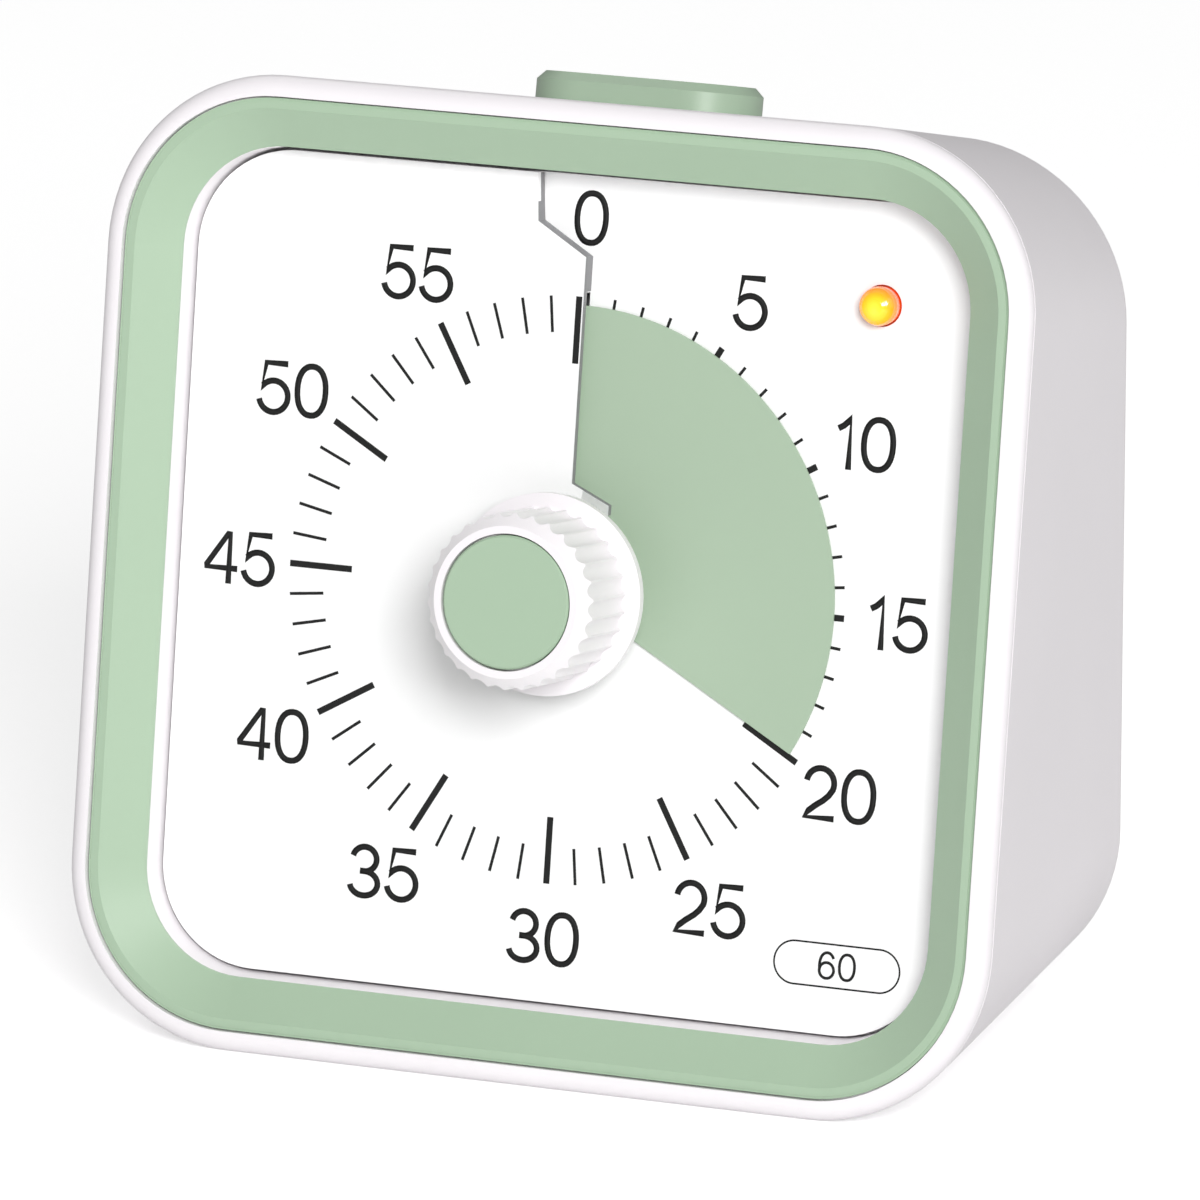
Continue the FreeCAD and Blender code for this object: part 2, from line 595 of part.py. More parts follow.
def knob_parts():
    """Fluted knob, its green cap and the flatted shaft that it drives."""
    body = new_body("knob", FACE)
    bore = "shaft_radius - 0.02"
    barrel = "(knob_radius - knob_wall)"
    inside = "(knob_front - cap_thick - 1.2)"
    revolve(body, [
        (bore, "knob_rear"), ("flange_radius", "knob_rear"),
        ("flange_radius", "knob_rear + flange_thick"),
        ("knob_radius", "knob_rear + flange_thick + 0.3"), ("knob_radius", "knob_edge"),
        ("knob_face", "knob_front"), ("cap_radius + cap_groove", "knob_front"),
        ("cap_radius + cap_groove", "knob_front - cap_thick"), (0, "knob_front - cap_thick"),
        (0, "shaft_front + 0.1"), (bore, "shaft_front + 0.1")])
    ring = new_sketch(body, "knob_rear")
    draw_circle(ring, barrel)
    draw_circle(ring, "shaft_radius + 1.3")
    pocket(body, ring, f"{inside} - knob_rear")
    flute = new_sketch(body, "knob_rear + flange_thick + 0.3")
    draw_circle(flute, "flute_radius", "knob_radius + flute_radius - flute_depth")
    polar(body, pocket(body, flute, "knob_front - knob_rear"), "flute_count")

    cap = new_body("knob_cap", FACE)
    revolve(cap, [(0, "knob_front - cap_thick"), ("cap_radius", "knob_front - cap_thick"),
                  ("cap_radius", "knob_front - 0.15"), ("cap_radius - 0.15", "knob_front"),
                  (0, "knob_front")])

    shaft = new_body("knob_shaft", FACE)
    collar = "(0 - plate_front - plate_thick - 0.3)"
    flats_rear = "(0 - plate_front + 0.6)"
    revolve(shaft, [
        (0, "shaft_front"), ("shaft_radius - 0.4", "shaft_front"),
        ("shaft_radius - 0.04", "shaft_front - 0.4"), ("shaft_radius - 0.04", collar),
        ("hub_radius", collar), ("hub_radius", f"{collar} - 0.8"),
        ("pivot_radius", f"{collar} - 0.8"), ("pivot_radius", "case_wall - case_depth - 0.9 + 0.2"),
        (0, "case_wall - case_depth - 0.9 + 0.2")])
    flats = new_sketch(shaft, flats_rear)
    for side in (-1, 1):
        draw_rectangle(flats, "shaft_radius * 3", 2, 0, f"{side} * (shaft_flat + 1)")
    pocket(shaft, flats, "knob_rear - 0.3 + plate_front - 0.6")


def gear_shape(teeth, module, thick, bore, facing, gap=False):
    """Involute gear about the z axis with a tooth, or a gap, centred on a direction."""
    pressure = math.radians(25)
    backlash = 0.16 * module
    pitch = teeth * module / 2
    base, tip, root = pitch * math.cos(pressure), pitch + 0.8 * module, pitch - 1.1 * module
    involute_at_pitch = math.tan(pressure) - pressure
    half_tooth = (math.pi * module / 2 - backlash) / (2 * pitch)
    flank = []
    start = max(base, root)
    for step in range(5):
        radius = start + (tip - start) * step / 4
        angle = math.acos(min(1.0, base / radius))
        flank.append((radius, half_tooth + involute_at_pitch - (math.tan(angle) - angle)))
    if root < base:
        flank.insert(0, (root, flank[0][1]))
    first = math.radians(facing) + (math.pi / teeth if gap else 0.0)
    points = []
    for tooth in range(teeth):
        centre = first + 2 * math.pi * tooth / teeth
        for radius, spread in flank:
            points.append(V(radius * math.cos(centre - spread), radius * math.sin(centre - spread), 0))
        for radius, spread in reversed(flank):
            points.append(V(radius * math.cos(centre + spread), radius * math.sin(centre + spread), 0))
    points.append(points[0])
    outline = Part.Wire(Part.makePolygon(points).Edges)
    solid = Part.Face(outline).extrude(V(0, 0, thick))
    return solid.cut(Part.makeCylinder(bore, thick, V(0, 0, 0))) if bore else solid


def wheel_train():
    """Centre wheel, two reduction wheels and the rotor, meshed at rest."""
    teeth, leaves = round(mm("wheel_teeth")), round(mm("pinion_teeth"))
    thick = mm("wheel_thick")
    modules = [mm("centre_module"), mm("second_module"), mm("first_module")]
    headings = [135.0, 180.0, 270.0]
    places = [V(0, 0, 0)]
    for module, heading in zip(modules, headings):
        reach = (teeth + leaves) / 2 * module
        angle = math.radians(heading)
        places.append(places[-1] + V(reach * math.cos(angle), reach * math.sin(angle), 0))
    rear = [mm(f"0 - plate_front - plate_thick - {level}") for level in (3.9, 6.5, 8.1)]
    floor = mm("case_wall - case_depth")
    ceiling = mm("0 - plate_front - plate_thick")
    arbor = mm("arbor_radius")
    pivot = mm("pivot_radius + shaft_fit")
    centre = gear_shape(teeth, modules[0], thick, pivot, headings[0])
    centre.translate(V(0, 0, rear[0]))
    loose("centre_wheel", centre, FACE)
    names = ("second_wheel", "first_wheel")
    for i, name in enumerate(names):
        place = places[i + 1]
        pinion = gear_shape(leaves, modules[i], thick + 0.8, 0, headings[i] + 180, gap=True)
        pinion.translate(V(0, 0, rear[i] - 0.4))
        wheel = gear_shape(teeth, modules[i + 1], thick, 0, headings[i + 1])
        wheel.translate(V(0, 0, rear[i + 1]))
        staff = Part.makeCylinder(arbor, ceiling - floor + 1.2, V(0, 0, floor - 0.6))
        neck = Part.makeCylinder(arbor + 0.2, rear[i] - rear[i + 1], V(0, 0, rear[i + 1] + thick / 2))
        whole = staff.fuse([pinion, wheel, neck]).removeSplitter()
        whole.translate(place)
        loose(name, whole, FACE)
    place = places[3]
    pinion = gear_shape(leaves, modules[2], thick + 0.4, 0, headings[2] + 180, gap=True)
    pinion.translate(V(0, 0, rear[2] - 0.2))
    staff = Part.makeCylinder(arbor, ceiling - floor + 1.2, V(0, 0, floor - 0.6))
    rotor = staff.fuse(pinion).removeSplitter()
    rotor.translate(place)
    loose("rotor_pinion", rotor, FACE)
    magnet = Part.makeCylinder(mm("magnet_radius"), 2.2, V(0, 0, mm("0 - plate_front - plate_thick - 6")))
    magnet = magnet.cut(Part.makeCylinder(arbor, 4, V(0, 0, mm("0 - plate_front - plate_thick - 7"))))
    magnet.translate(place)
    loose("rotor_magnet", magnet, FACE)
    return places


def clutch():
    """Friction spring between the shaft's collar and the centre wheel, and its clip."""
    wheel_front = "(0 - plate_front - plate_thick - 3.9 + wheel_thick)"
    collar_rear = "(0 - plate_front - plate_thick - 1.1)"
    spring = new_body("clutch_spring", FACE)
    revolve(spring, [("pivot_radius + 0.1", collar_rear), ("pivot_radius + 1", collar_rear),
                     ("hub_radius - 0.6", f"{wheel_front} + 0.35"),
                     ("hub_radius - 0.2", f"{wheel_front} + 0.35"),
                     ("hub_radius - 0.2", f"{wheel_front} + 0.05"),
                     ("hub_radius - 0.8", f"{wheel_front} + 0.05"),
                     ("pivot_radius + 0.8", f"{collar_rear} - 0.3"),
                     ("pivot_radius + 0.1", f"{collar_rear} - 0.3")])
    clip = new_body("shaft_clip", FACE)
    ring = new_sketch(clip, "0 - plate_front - plate_thick - 4.35")
    draw_circle(ring, "pivot_radius + 1.1")
    draw_circle(ring, "pivot_radius")
    pad(clip, ring, 0.4)


def movement(places):
    """Plate behind the dial, movement cover, stator and coil."""
    plate = new_body("movement_plate", FACE)
    base = new_sketch(plate, "0 - plate_front - plate_thick")
    draw_square(base, "plate_half")
    draw_circle(base, "shaft_radius + 1.2")
    pad(plate, base, "plate_thick")
    for side in (-1, 1):
        for up in ("tower_high", "0 - tower_low"):
            hole = new_sketch(plate, "0 - plate_front")
            draw_circle(hole, "screw_radius + 0.15", f"{side} * tower_place", up)
            pocket(plate, hole, "plate_thick", back=True)
    light = new_sketch(plate, "0 - plate_front")
    draw_circle(light, "led_radius + 0.4", "led_place", "led_place")
    pocket(plate, light, "plate_thick", back=True)
    for place in places[1:]:
        pivot = new_sketch(plate, "0 - plate_front - plate_thick")
        draw_circle(pivot, "arbor_radius + pivot_fit", place.x, place.y)
        pocket(plate, pivot, 0.8)

    bush = new_body("shaft_bush", FACE)
    ring = new_sketch(bush, "0 - plate_front - plate_thick")
    draw_circle(ring, "shaft_radius + 1.15")
    draw_circle(ring, "shaft_radius - 0.04 + shaft_fit")
    pad(bush, ring, "plate_thick + 0.8")

    cover = new_body("movement_cover", FACE)
    outside = new_sketch(cover, "0 - case_depth")
    draw_rounded(outside, "case_half", "0 - case_half", "case_half", 3)
    pad(cover, outside, "case_depth - plate_front - plate_thick")
    inside = new_sketch(cover, "case_wall - case_depth")
    draw_rounded(inside, "case_half - case_wall", "case_wall - case_half",
                 "case_half - case_wall", 2)
    pocket(cover, inside, "case_depth")
    centre = new_sketch(cover, "case_wall - case_depth - 0.8")
    draw_circle(centre, "pivot_radius + shaft_fit")
    pocket(cover, centre, 0.8)
    for place in places[1:]:
        pivot = new_sketch(cover, "case_wall - case_depth - 0.7")
        draw_circle(pivot, "arbor_radius + pivot_fit", place.x, place.y)
        pocket(cover, pivot, 0.7)

    rotor = places[3]
    level = "(0 - plate_front - plate_thick - 5.3)"
    left, right = rotor.x - 5.2, rotor.x + 6.5
    foot = rotor.y - 14.0
    stator = new_body("stator", FACE)
    outline = new_sketch(stator, level)
    draw_polygon(outline, [
        (left, rotor.y + 4), (right, rotor.y + 4), (right, foot), (right - 2.6, foot),
        (right - 2.6, rotor.y - 4), (left + 2.6, rotor.y - 4), (left + 2.6, foot), (left, foot)])
    draw_circle(outline, "magnet_radius + 0.4", rotor.x, rotor.y)
    pad(stator, outline, 0.9)

    coil_y = foot + 2.6
    core = box("coil_core", FACE, right - left, 2.4, 0.9, (left + right) / 2, coil_y,
               f"{level} - 0.9")
    span = right - left - 5.6
    middle = (left + right) / 2
    turned = FACE.multiply(spot(middle - span / 2, coil_y, f"{level} - 0.45"))
    turned = turned.multiply(FreeCAD.Placement(V(0, 0, 0), FreeCAD.Rotation(V(0, 1, 0), 90)))
    slot = Part.makeBox(1.1, 2.6, span + 2, V(-0.55, -1.3, -1))
    radius = mm("coil_radius")
    spool = Part.makeCylinder(1.7, span, V(0, 0, 0))
    for end in (0, span - 0.7):
        spool = spool.fuse(Part.makeCylinder(radius, 0.7, V(0, 0, end)))
    loose("coil_spool", spool.removeSplitter().cut(slot), turned)
    winding = Part.makeCylinder(radius - 0.4, span - 1.4, V(0, 0, 0.7))
    loose("coil_winding", winding.cut(Part.makeCylinder(1.7, span, V(0, 0, 0))), turned)
    return core


def rear_face_at(up):
    """Depth of the rear face behind a height on the leaning face."""
    return f"((rear_depth - ({up}) * sin(lean)) / cos(lean))"


def rear_housing():
    """Tapering housing, closed at the back, with battery tray, towers and cut-outs."""
    body = new_body("rear_housing", FACE)

    def upright(depth, inset, floor):
        """The case's outline at a depth in front of the rear face, drawn in by an inset."""
        outline = new_sketch(body, depth, offset=REAR_IN_FACE)
        draw_rounded(outline, f"rear_width / 2 + {SIDE_FALL} * {depth} - {inset}",
                     f"{floor} - {DIAL_UP}",
                     f"rear_top + {ROOF_FALL} * {depth} - {inset} * sqrt(1 + {ROOF_FALL} ^ 2)",
                     f"rear_corner - {inset}")
        return outline

    def loft(inset, sections, kind):
        front = new_sketch(body, "rim_split")
        draw_square(front, f"{FACE_HALF} - {inset}")
        feature = body.newObject(f"PartDesign::{kind}", "Loft")
        feature.Profile = front
        feature.Sections = sections
        feature.Ruled = True
        doc.recompute()

    turns = [f"({i} * 90 / round_steps)" for i in range(round(mm("round_steps")) + 1)]
    steps = [(f"(rear_round * (1 - sin({turn})))", f"(rear_round * (1 - cos({turn})))")
             for turn in turns]
    loft("0", [upright(depth, inset, f"{inset} - base_drop") for depth, inset in steps],
         "AdditiveLoft")
    base = new_sketch(body, offset=BASE_IN_FACE)
    draw_rectangle(base, "face_size * 2", "face_size * 2")
    pocket(body, base, "base_drop * 4", back=True)
    loft("wall", [upright("wall", "wall", "wall")], "SubtractiveLoft")
    spigot = new_sketch(body, "rim_split")
    draw_square(spigot, f"{FACE_HALF} - lip_width")
    pocket(body, spigot, "spigot_depth + 0.1", back=True)

    tray = new_sketch(body, "wall / 2", offset=REAR_IN_FACE)
    outer_length, outer_height = "tray_length + tray_wall * 2", "tray_height + tray_wall * 2"
    draw_rectangle(tray, outer_length, outer_height, 0, "0 - tray_drop")
    pad(body, tray, "tray_depth + tray_wall - wall / 2")
    for side in (-1, 1):
        for up in ("tower_high", "(0 - tower_low)"):
            top = "(plate_front + plate_thick)"
            tower = new_sketch(body, f"0 - {top}")
            draw_circle(tower, "tower_radius", f"{side} * tower_place", up)
            pad(body, tower, f"{rear_face_at(up)} - {top} - wall", back=True)
    for side in (-1, 1):
        for up in ("tower_high", "(0 - tower_low)"):
            hole = new_sketch(body, "0 - plate_front")
            draw_circle(hole, "screw_radius + 0.15", f"{side} * tower_place", up)
            pocket(body, hole, 60, back=True)
            sink = new_sketch(body, f"head_sink - {rear_face_at(up)}")
            draw_circle(sink, "head_radius + 0.2", f"{side} * tower_place", up)
            pocket(body, sink, 20, back=True)
    inside = new_sketch(body, "0 - wall", offset=REAR_IN_FACE)
    draw_rectangle(inside, "tray_length", "tray_height", 0, "0 - tray_drop")
    pocket(body, inside, "tray_depth + wall")
    door = new_sketch(body, "0 - wall", offset=REAR_IN_FACE)
    draw_rectangle(door, outer_length, outer_height, 0, "0 - tray_drop")
    pocket(body, door, "wall + door_thick")

    grille = new_sketch(body, "0 - wall", offset=REAR_IN_FACE)
    draw_circle(grille, "grille_hole", "sounder_x", "sounder_up")
    count = round(mm("grille_count"))
    for i in range(count):
        angle = f"{i} * 360 / grille_count"
        draw_circle(grille, "grille_hole", f"sounder_x + grille_ring * cos({angle})",
                    f"sounder_up + grille_ring * sin({angle})")
    pocket(body, grille, "wall * 3")
    window = new_sketch(body, "0 - wall", offset=REAR_IN_FACE)
    draw_rectangle(window, "slider_width + switch_travel * 2 + 0.6", "slider_height + 0.6",
                   "switch_x", "switch_up")
    pocket(body, window, "wall * 3")

    opening = new_sketch(body, "0 - wall * 2", offset=ROOF_IN_FACE)
    draw_pill(opening, "button_length + button_gap * 2", "button_width + button_gap * 2")
    pocket(body, opening, "wall * 4")
    for side in (-1, 1):
        post = new_sketch(body, "0 - wall / 2", offset=ROOF_IN_FACE)
        draw_circle(post, 1.9, f"{side} * post_place")
        pad(body, post, "button_stem + 3.9 + wall / 2", back=True)
        pilot = new_sketch(body, "0 - wall - button_stem - 3.9", offset=ROOF_IN_FACE)
        draw_circle(pilot, 0.8, f"{side} * post_place")
        pocket(body, pilot, 4)
    return body


def top_button_parts():
    """Push button in the roof, with its tactile switch on a small board."""
    button = new_body("top_button", ROOF)
    bar = new_sketch(button, "0 - wall - 0.1")
    draw_pill(bar, "button_length", "button_width")
    pad(button, bar, "button_proud + wall + 0.1")
    crown = [f"Edge{i}" for i, edge in enumerate(button.Tip.Shape.Edges, 1)
             if edge.BoundBox.ZMin > mm("button_proud") - 0.01]
    bar_end = button.Tip
    chamfer = button.newObject("PartDesign::Chamfer", "Crown")
    chamfer.Base = (bar_end, crown)
    chamfer.Size = 0.7
    doc.recompute()
    flange = new_sketch(button, "0 - wall - 0.1")
    draw_pill(flange, "button_length + button_flange * 2 - 2.2", "button_width + button_flange * 2")
    pad(button, flange, 0.9, back=True)
    stem = new_sketch(button, "0 - wall - 1")
    draw_circle(stem, 2)
    pad(button, stem, "button_stem - 1", back=True)
    cylinder("switch_plunger", ROOF, 1.7, 1.0, 0, 0, "0 - wall - button_stem - 1.0")
    body_top = "(0 - wall - button_stem - button_travel - 0.3)"
    case = box("case", ROOF, 6, 6, f"{body_top} + wall + button_stem + 3.9", 0, 0,
               "0 - wall - button_stem - 3.9", keep=False)
    well = cylinder("well", ROOF, 1.8, 3, 0, 0, f"{body_top} - 1.4", keep=False)
    cut("button_switch", case, well)
    board_low = "(0 - wall - button_stem - 3.9 - board_thick)"
    board = box("board", ROOF, "post_place * 2 + 6", 9, "board_thick", 0, 0, board_low, keep=False)
    holes = [cylinder("hole", ROOF, 1.1, 4, f"{side} * post_place", 0, f"{board_low} - 1", keep=False)
             for side in (-1, 1)]
    drilled = doc.addObject("Part::MultiFuse", "Holes")
    drilled.Shapes = holes
    cut("button_board", board, drilled)
    screws("button_board_screws", [(ROOF, f"{side} * post_place", 0, board_low) for side in (-1, 1)],
           1.8, 1.0, 0.8, "board_thick + 3.4")


def screws(name, seats, head, height, shank, length):
    """Cross-recess screws that point up z from their seats, as one group."""
    group = []
    for frame, x, y, z in seats:
        dome = cylinder("head", frame, head, height, x, y, f"({z}) - ({height})", keep=False)
        rod = cylinder("rod", frame, f"({shank}) - 0.02", length, x, y, z, keep=False)
        screw = doc.addObject("Part::MultiFuse", "Screw")
        screw.Shapes = [dome, rod]
        slots = doc.addObject("Part::MultiFuse", "Recess")
        slots.Shapes = [box("slot", frame, f"({head}) * 1.1", f"({head}) * 0.3", 1, x, y,
                            f"({z}) - ({height}) - 0.5", keep=False),
                        box("slot", frame, f"({head}) * 0.3", f"({head}) * 1.1", 1, x, y,
                            f"({z}) - ({height}) - 0.5", keep=False)]
        cutter = doc.addObject("Part::Cut", "Screw")
        cutter.Base = screw
        cutter.Tool = slots
        group.append(cutter)
    join(name, group, "Part::Compound")


def rear_parts():
    """Battery door, cells, contacts, sounder and sound switch."""
    door_length = "tray_length + tray_wall * 2 - door_gap * 2"
    door_height = "tray_height + tray_wall * 2 - door_gap * 2"
    door = new_body("battery_door", REAR)
    panel = new_sketch(door)
    draw_rectangle(panel, door_length, door_height, 0, "0 - tray_drop")
    pad(door, panel, "door_thick")
    grip = new_sketch(door)
    draw_rectangle(grip, 12, 1.0, 0, "0 - tray_drop + tray_height / 2 - 2.2")
    draw_rectangle(grip, 12, 1.0, 0, "0 - tray_drop + tray_height / 2 - 4.2")
    draw_rectangle(grip, 12, 1.0, 0, "0 - tray_drop + tray_height / 2 - 6.2")
    pocket(door, grip, 0.6)
    for side in (-1, 1):
        rib = new_sketch(door, "door_thick")
        draw_rectangle(rib, 10, 1.0, f"{side} * 14", "0 - tray_drop + tray_height / 2 - 0.9")
        pad(door, rib, 1.6)

    cell_z = "(tray_depth - cell_radius - 0.25)"
    for name, lift in (("upper_cell", 1), ("lower_cell", -1)):
        body = new_body(name, REAR.multiply(spot(
            f"0 - cell_length / 2 * {lift}", f"0 - tray_drop + {lift} * cell_pitch / 2", cell_z)
            .multiply(FreeCAD.Placement(V(0, 0, 0), FreeCAD.Rotation(V(0, 1, 0), 90 * lift)))))
        revolve(body, [(0, 0), ("cell_radius - 0.4", 0), ("cell_radius", 0.4),
                       ("cell_radius", "cell_length - 1.2"),
                       ("cell_radius - 0.5", "cell_length - 0.8"), (1.9, "cell_length - 0.8"),
                       (1.9, "cell_length"), (0, "cell_length")])
    plates, springs = [], []
    for side in (-1, 1):
        wall = f"{side} * (tray_length / 2 - 0.25)"
        if side < 0:
            box("bridge_contact", REAR, 0.4, "tray_height - 3", 8, wall, "0 - tray_drop",
                "tray_depth - 10")
        else:
            for lift in (-1, 1):
                plates.append(box("plate", REAR, 0.4, 8.6, 8, wall,
                                  f"0 - tray_drop + {lift} * cell_pitch / 2", "tray_depth - 10",
                                  keep=False))
    join("end_contacts", plates, "Part::Compound")
    for side, lift in ((-1, 1), (1, -1)):
        free = mm("tray_length / 2 - 0.5 - cell_length / 2") - 0.1
        wire = mm("spring_wire")
        helix = Part.makeLongHelix(free / 4, free - 0.5, 2.6, 0, False)
        start = helix.Edges[0].Vertexes[0].Point
        ring = Part.makePolygon([
            start + V(wire * math.cos(math.radians(i * 60)), 0, wire * math.sin(math.radians(i * 60)))
            for i in range(7)])
        coil = Part.Wire(helix.Edges).makePipeShell([ring], True, True)
        coil.translate(V(0, 0, 0.25))
        turned = REAR.multiply(spot(f"{side} * (tray_length / 2 - 0.5)",
                                    f"0 - tray_drop + {lift} * cell_pitch / 2", cell_z))
        turned = turned.multiply(FreeCAD.Placement(
            V(0, 0, 0), FreeCAD.Rotation(V(0, 1, 0), -90 * side)))
        coil.Placement = turned.multiply(coil.Placement)
        springs.append(coil)
    loose("contact_springs", Part.makeCompound(springs), FreeCAD.Placement())

    sounder = new_body("sounder", REAR.multiply(spot("sounder_x", "sounder_up", "wall")))
    can = new_sketch(sounder)
    draw_circle(can, "sounder_radius")
    pad(sounder, can, "sounder_depth")
    mouth = new_sketch(sounder)
    draw_circle(mouth, "grille_ring + grille_hole + 0.4")
    pocket(sounder, mouth, 1.2)

    slider = new_body("sound_slider", REAR.multiply(spot("switch_x", "switch_up", 0)))
    nub = new_sketch(slider, 0.5)
    draw_rectangle(nub, "slider_width", "slider_height")
    pad(slider, nub, "wall")
    foot = new_sketch(slider, "wall + 0.5")
    draw_rectangle(foot, "slider_width - 0.4", 2.0)
    pad(slider, foot, 1.6)
    case = box("case", REAR, "slider_width + switch_travel * 2 + 5", 7, 4, "switch_x",
               "switch_up", "wall", keep=False)
    channel = box("channel", REAR, "slider_width + switch_travel * 2 + 0.6", "slider_height + 0.6", 3,
                  "switch_x", "switch_up", "wall - 0.5", keep=False)
    cut("sound_switch", case, channel)


def boards():
    """Main board on the movement cover, its chips, the indicator light and the screws."""
    low = "(0 - board_front - board_thick)"
    corners = [(x, y) for x in (-20, 20) for y in (14, -16)]
    board = box("board", FACE, "board_width", "board_height", "board_thick", 0, -1, low, keep=False)
    holes = [cylinder("hole", FACE, 1.1, 4, x, y, f"{low} - 1", keep=False)
             for x, y in corners]
    drilled = doc.addObject("Part::MultiFuse", "Holes")
    drilled.Shapes = holes
    cut("main_board", board, drilled)
    posts = [cylinder("post", FACE, 2.0, "board_front - case_depth", x, y, "0 - board_front", keep=False)
             for x, y in corners]
    hollow = [cut("post", post, cylinder("bore", FACE, 0.85, 5, x, y, "0 - board_front - 1", keep=False),
                  keep=False)
              for post, (x, y) in zip(posts, corners)]
    join("board_washers", hollow, "Part::Compound")
    screws("board_screws", [(FACE, x, y, low) for x, y in corners],
           1.7, 0.9, 0.8, "board_thick + board_front - case_depth - 0.1")
    box("control_chip", FACE, 7, 7, 1.2, 6, 2, f"{low} - 1.2")
    box("clock_crystal", FACE, 2, 6, 1.6, -6, 4, f"{low} - 1.6")
    box("driver_chip", FACE, 4, 5, 1.1, -14, 4, f"{low} - 1.1")

    lamp = new_body("indicator_light", FACE)
    lamp.Placement = FACE.multiply(spot("led_place", "led_place", 0))
    revolve(lamp, [(0, "0 - plate_front + 0.2"), ("led_radius + 0.3", "0 - plate_front + 0.2"),
                   ("led_radius + 0.3", "0 - plate_front + 1.2"),
                   ("led_radius", "0 - plate_front + 1.2"), ("led_radius", "led_height - 1.0"),
                   ("led_radius * 0.92", "led_height - 0.55"), ("led_radius * 0.7", "led_height - 0.18"),
                   ("led_radius * 0.4", "led_height"), (0, "led_height + 0.06")])
    legs = [cylinder("leg", FACE, 0.25, "board_front - plate_front + 0.2", f"led_place + {side} * 0.6",
                     "led_place", "0 - board_front", keep=False) for side in (-1, 1)]
    join("light_legs", legs, "Part::Compound")


def case_screws():
    """Four long screws from the rear through towers and plate into the front frame."""
    seats = []
    for side in (-1, 1):
        for up in ("tower_high", "(0 - tower_low)"):
            seat = f"head_sink - {rear_face_at(up)}"
            length = mm(f"{rear_face_at(up)} - head_sink - ledge_depth - 0.4")
            seats.append((side, up, seat, length))
    group = []
    for side, up, seat, length in seats:
        head = cylinder("head", FACE, "head_radius", "head_height", f"{side} * tower_place", up,
                        f"{seat} - head_height", keep=False)
        rod = cylinder("rod", FACE, "screw_radius - 0.17", length, f"{side} * tower_place", up,
                       seat, keep=False)
        whole = doc.addObject("Part::MultiFuse", "Screw")
        whole.Shapes = [head, rod]
        slots = doc.addObject("Part::MultiFuse", "Recess")
        slots.Shapes = [box("slot", FACE, wide, tall, 1, f"{side} * tower_place", up,
                            f"{seat} - head_height - 0.4", keep=False)
                        for wide, tall in ((2.2, 0.5), (0.5, 2.2))]
        group.append(cut("Screw", whole, slots, keep=False))
    join("case_screws", group, "Part::Compound")


def write_parts():
    """Check every object and write one file for each node."""
    doc.recompute()
    for item in doc.Objects:
        if any(state in item.State for state in ("Invalid", "Error")):
            raise RuntimeError(f"{item.Name} ({item.Label}) failed: {item.State}")
    os.makedirs("parts", exist_ok=True)
    for item in nodes:
        shape = item.Shape
        if shape.isNull() or not shape.isValid() or shape.Volume <= 0:
            raise RuntimeError(f"{item.Label} has no valid solid")
        shape.exportStep(f"parts/{item.Label}.step")
        print(f"{item.Label:22s} solids {len(shape.Solids)} volume {shape.Volume:9.1f}")
    print(len(nodes), "nodes")


def main():
    front_frame()
    bezel_ring()
    dial_plate()
    time_disc()
    knob_parts()
    clutch()
    places = wheel_train()
    movement(places)
    rear_housing()
    top_button_parts()
    rear_parts()
    boards()
    case_screws()
    write_parts()


main()
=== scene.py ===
"""Visual countdown timer: finishes, dial print and stage round the fixed CAD frame."""

import json
import math

import bmesh
import bpy
from mathutils import Euler, Matrix, Vector


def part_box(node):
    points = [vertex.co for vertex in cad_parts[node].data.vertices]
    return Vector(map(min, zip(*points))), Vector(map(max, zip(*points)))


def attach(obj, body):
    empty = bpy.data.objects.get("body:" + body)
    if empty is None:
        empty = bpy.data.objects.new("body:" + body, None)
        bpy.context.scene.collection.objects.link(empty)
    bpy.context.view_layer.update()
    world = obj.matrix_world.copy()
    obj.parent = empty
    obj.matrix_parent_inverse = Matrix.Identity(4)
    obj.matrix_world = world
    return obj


bl_info = {
    "name": "Visual countdown timer",
    "version": (1, 0, 0),
    "blender": (4, 5, 0),
    "location": "View3D > Sidebar > Timer",
    "description": "Dresses the timer's frame with moulded finishes, dial print and a studio stage",
    "category": "Object",
}

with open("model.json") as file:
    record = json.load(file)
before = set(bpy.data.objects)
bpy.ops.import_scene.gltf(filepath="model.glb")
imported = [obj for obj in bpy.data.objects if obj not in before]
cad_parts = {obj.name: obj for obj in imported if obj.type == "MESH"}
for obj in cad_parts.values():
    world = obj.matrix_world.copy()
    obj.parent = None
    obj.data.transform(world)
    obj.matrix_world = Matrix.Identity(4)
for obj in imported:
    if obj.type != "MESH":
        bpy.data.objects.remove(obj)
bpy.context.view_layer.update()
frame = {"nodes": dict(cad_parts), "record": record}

MM = 0.001
LEAN = math.radians(10.0)
# Where the knob's axis meets the mean dial plane; the knob's node is turned about that axis.
KNOB_LOW, KNOB_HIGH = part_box("knob_cap")
KNOB_FRONT = 13.2 * MM
CAP_THICK = 1.2 * MM
OUT = Vector((0, -math.cos(LEAN), math.sin(LEAN)))
UP = Vector((0, math.sin(LEAN), math.cos(LEAN)))
CENTRE = (KNOB_LOW + KNOB_HIGH) / 2 - OUT * (KNOB_FRONT - CAP_THICK / 2)
FACE = Matrix.Translation(CENTRE) @ Matrix((
    (1, 0, 0, 0), (0, UP.y, OUT.y, 0), (0, UP.z, OUT.z, 0), (0, 0, 0, 1)))


def linear(code):
    """An sRGB hex colour as linear RGBA."""
    values = [int(code[i:i + 2], 16) / 255 for i in (0, 2, 4)]
    return [v / 12.92 if v <= 0.04045 else ((v + 0.055) / 1.055) ** 2.4 for v in values] + [1.0]


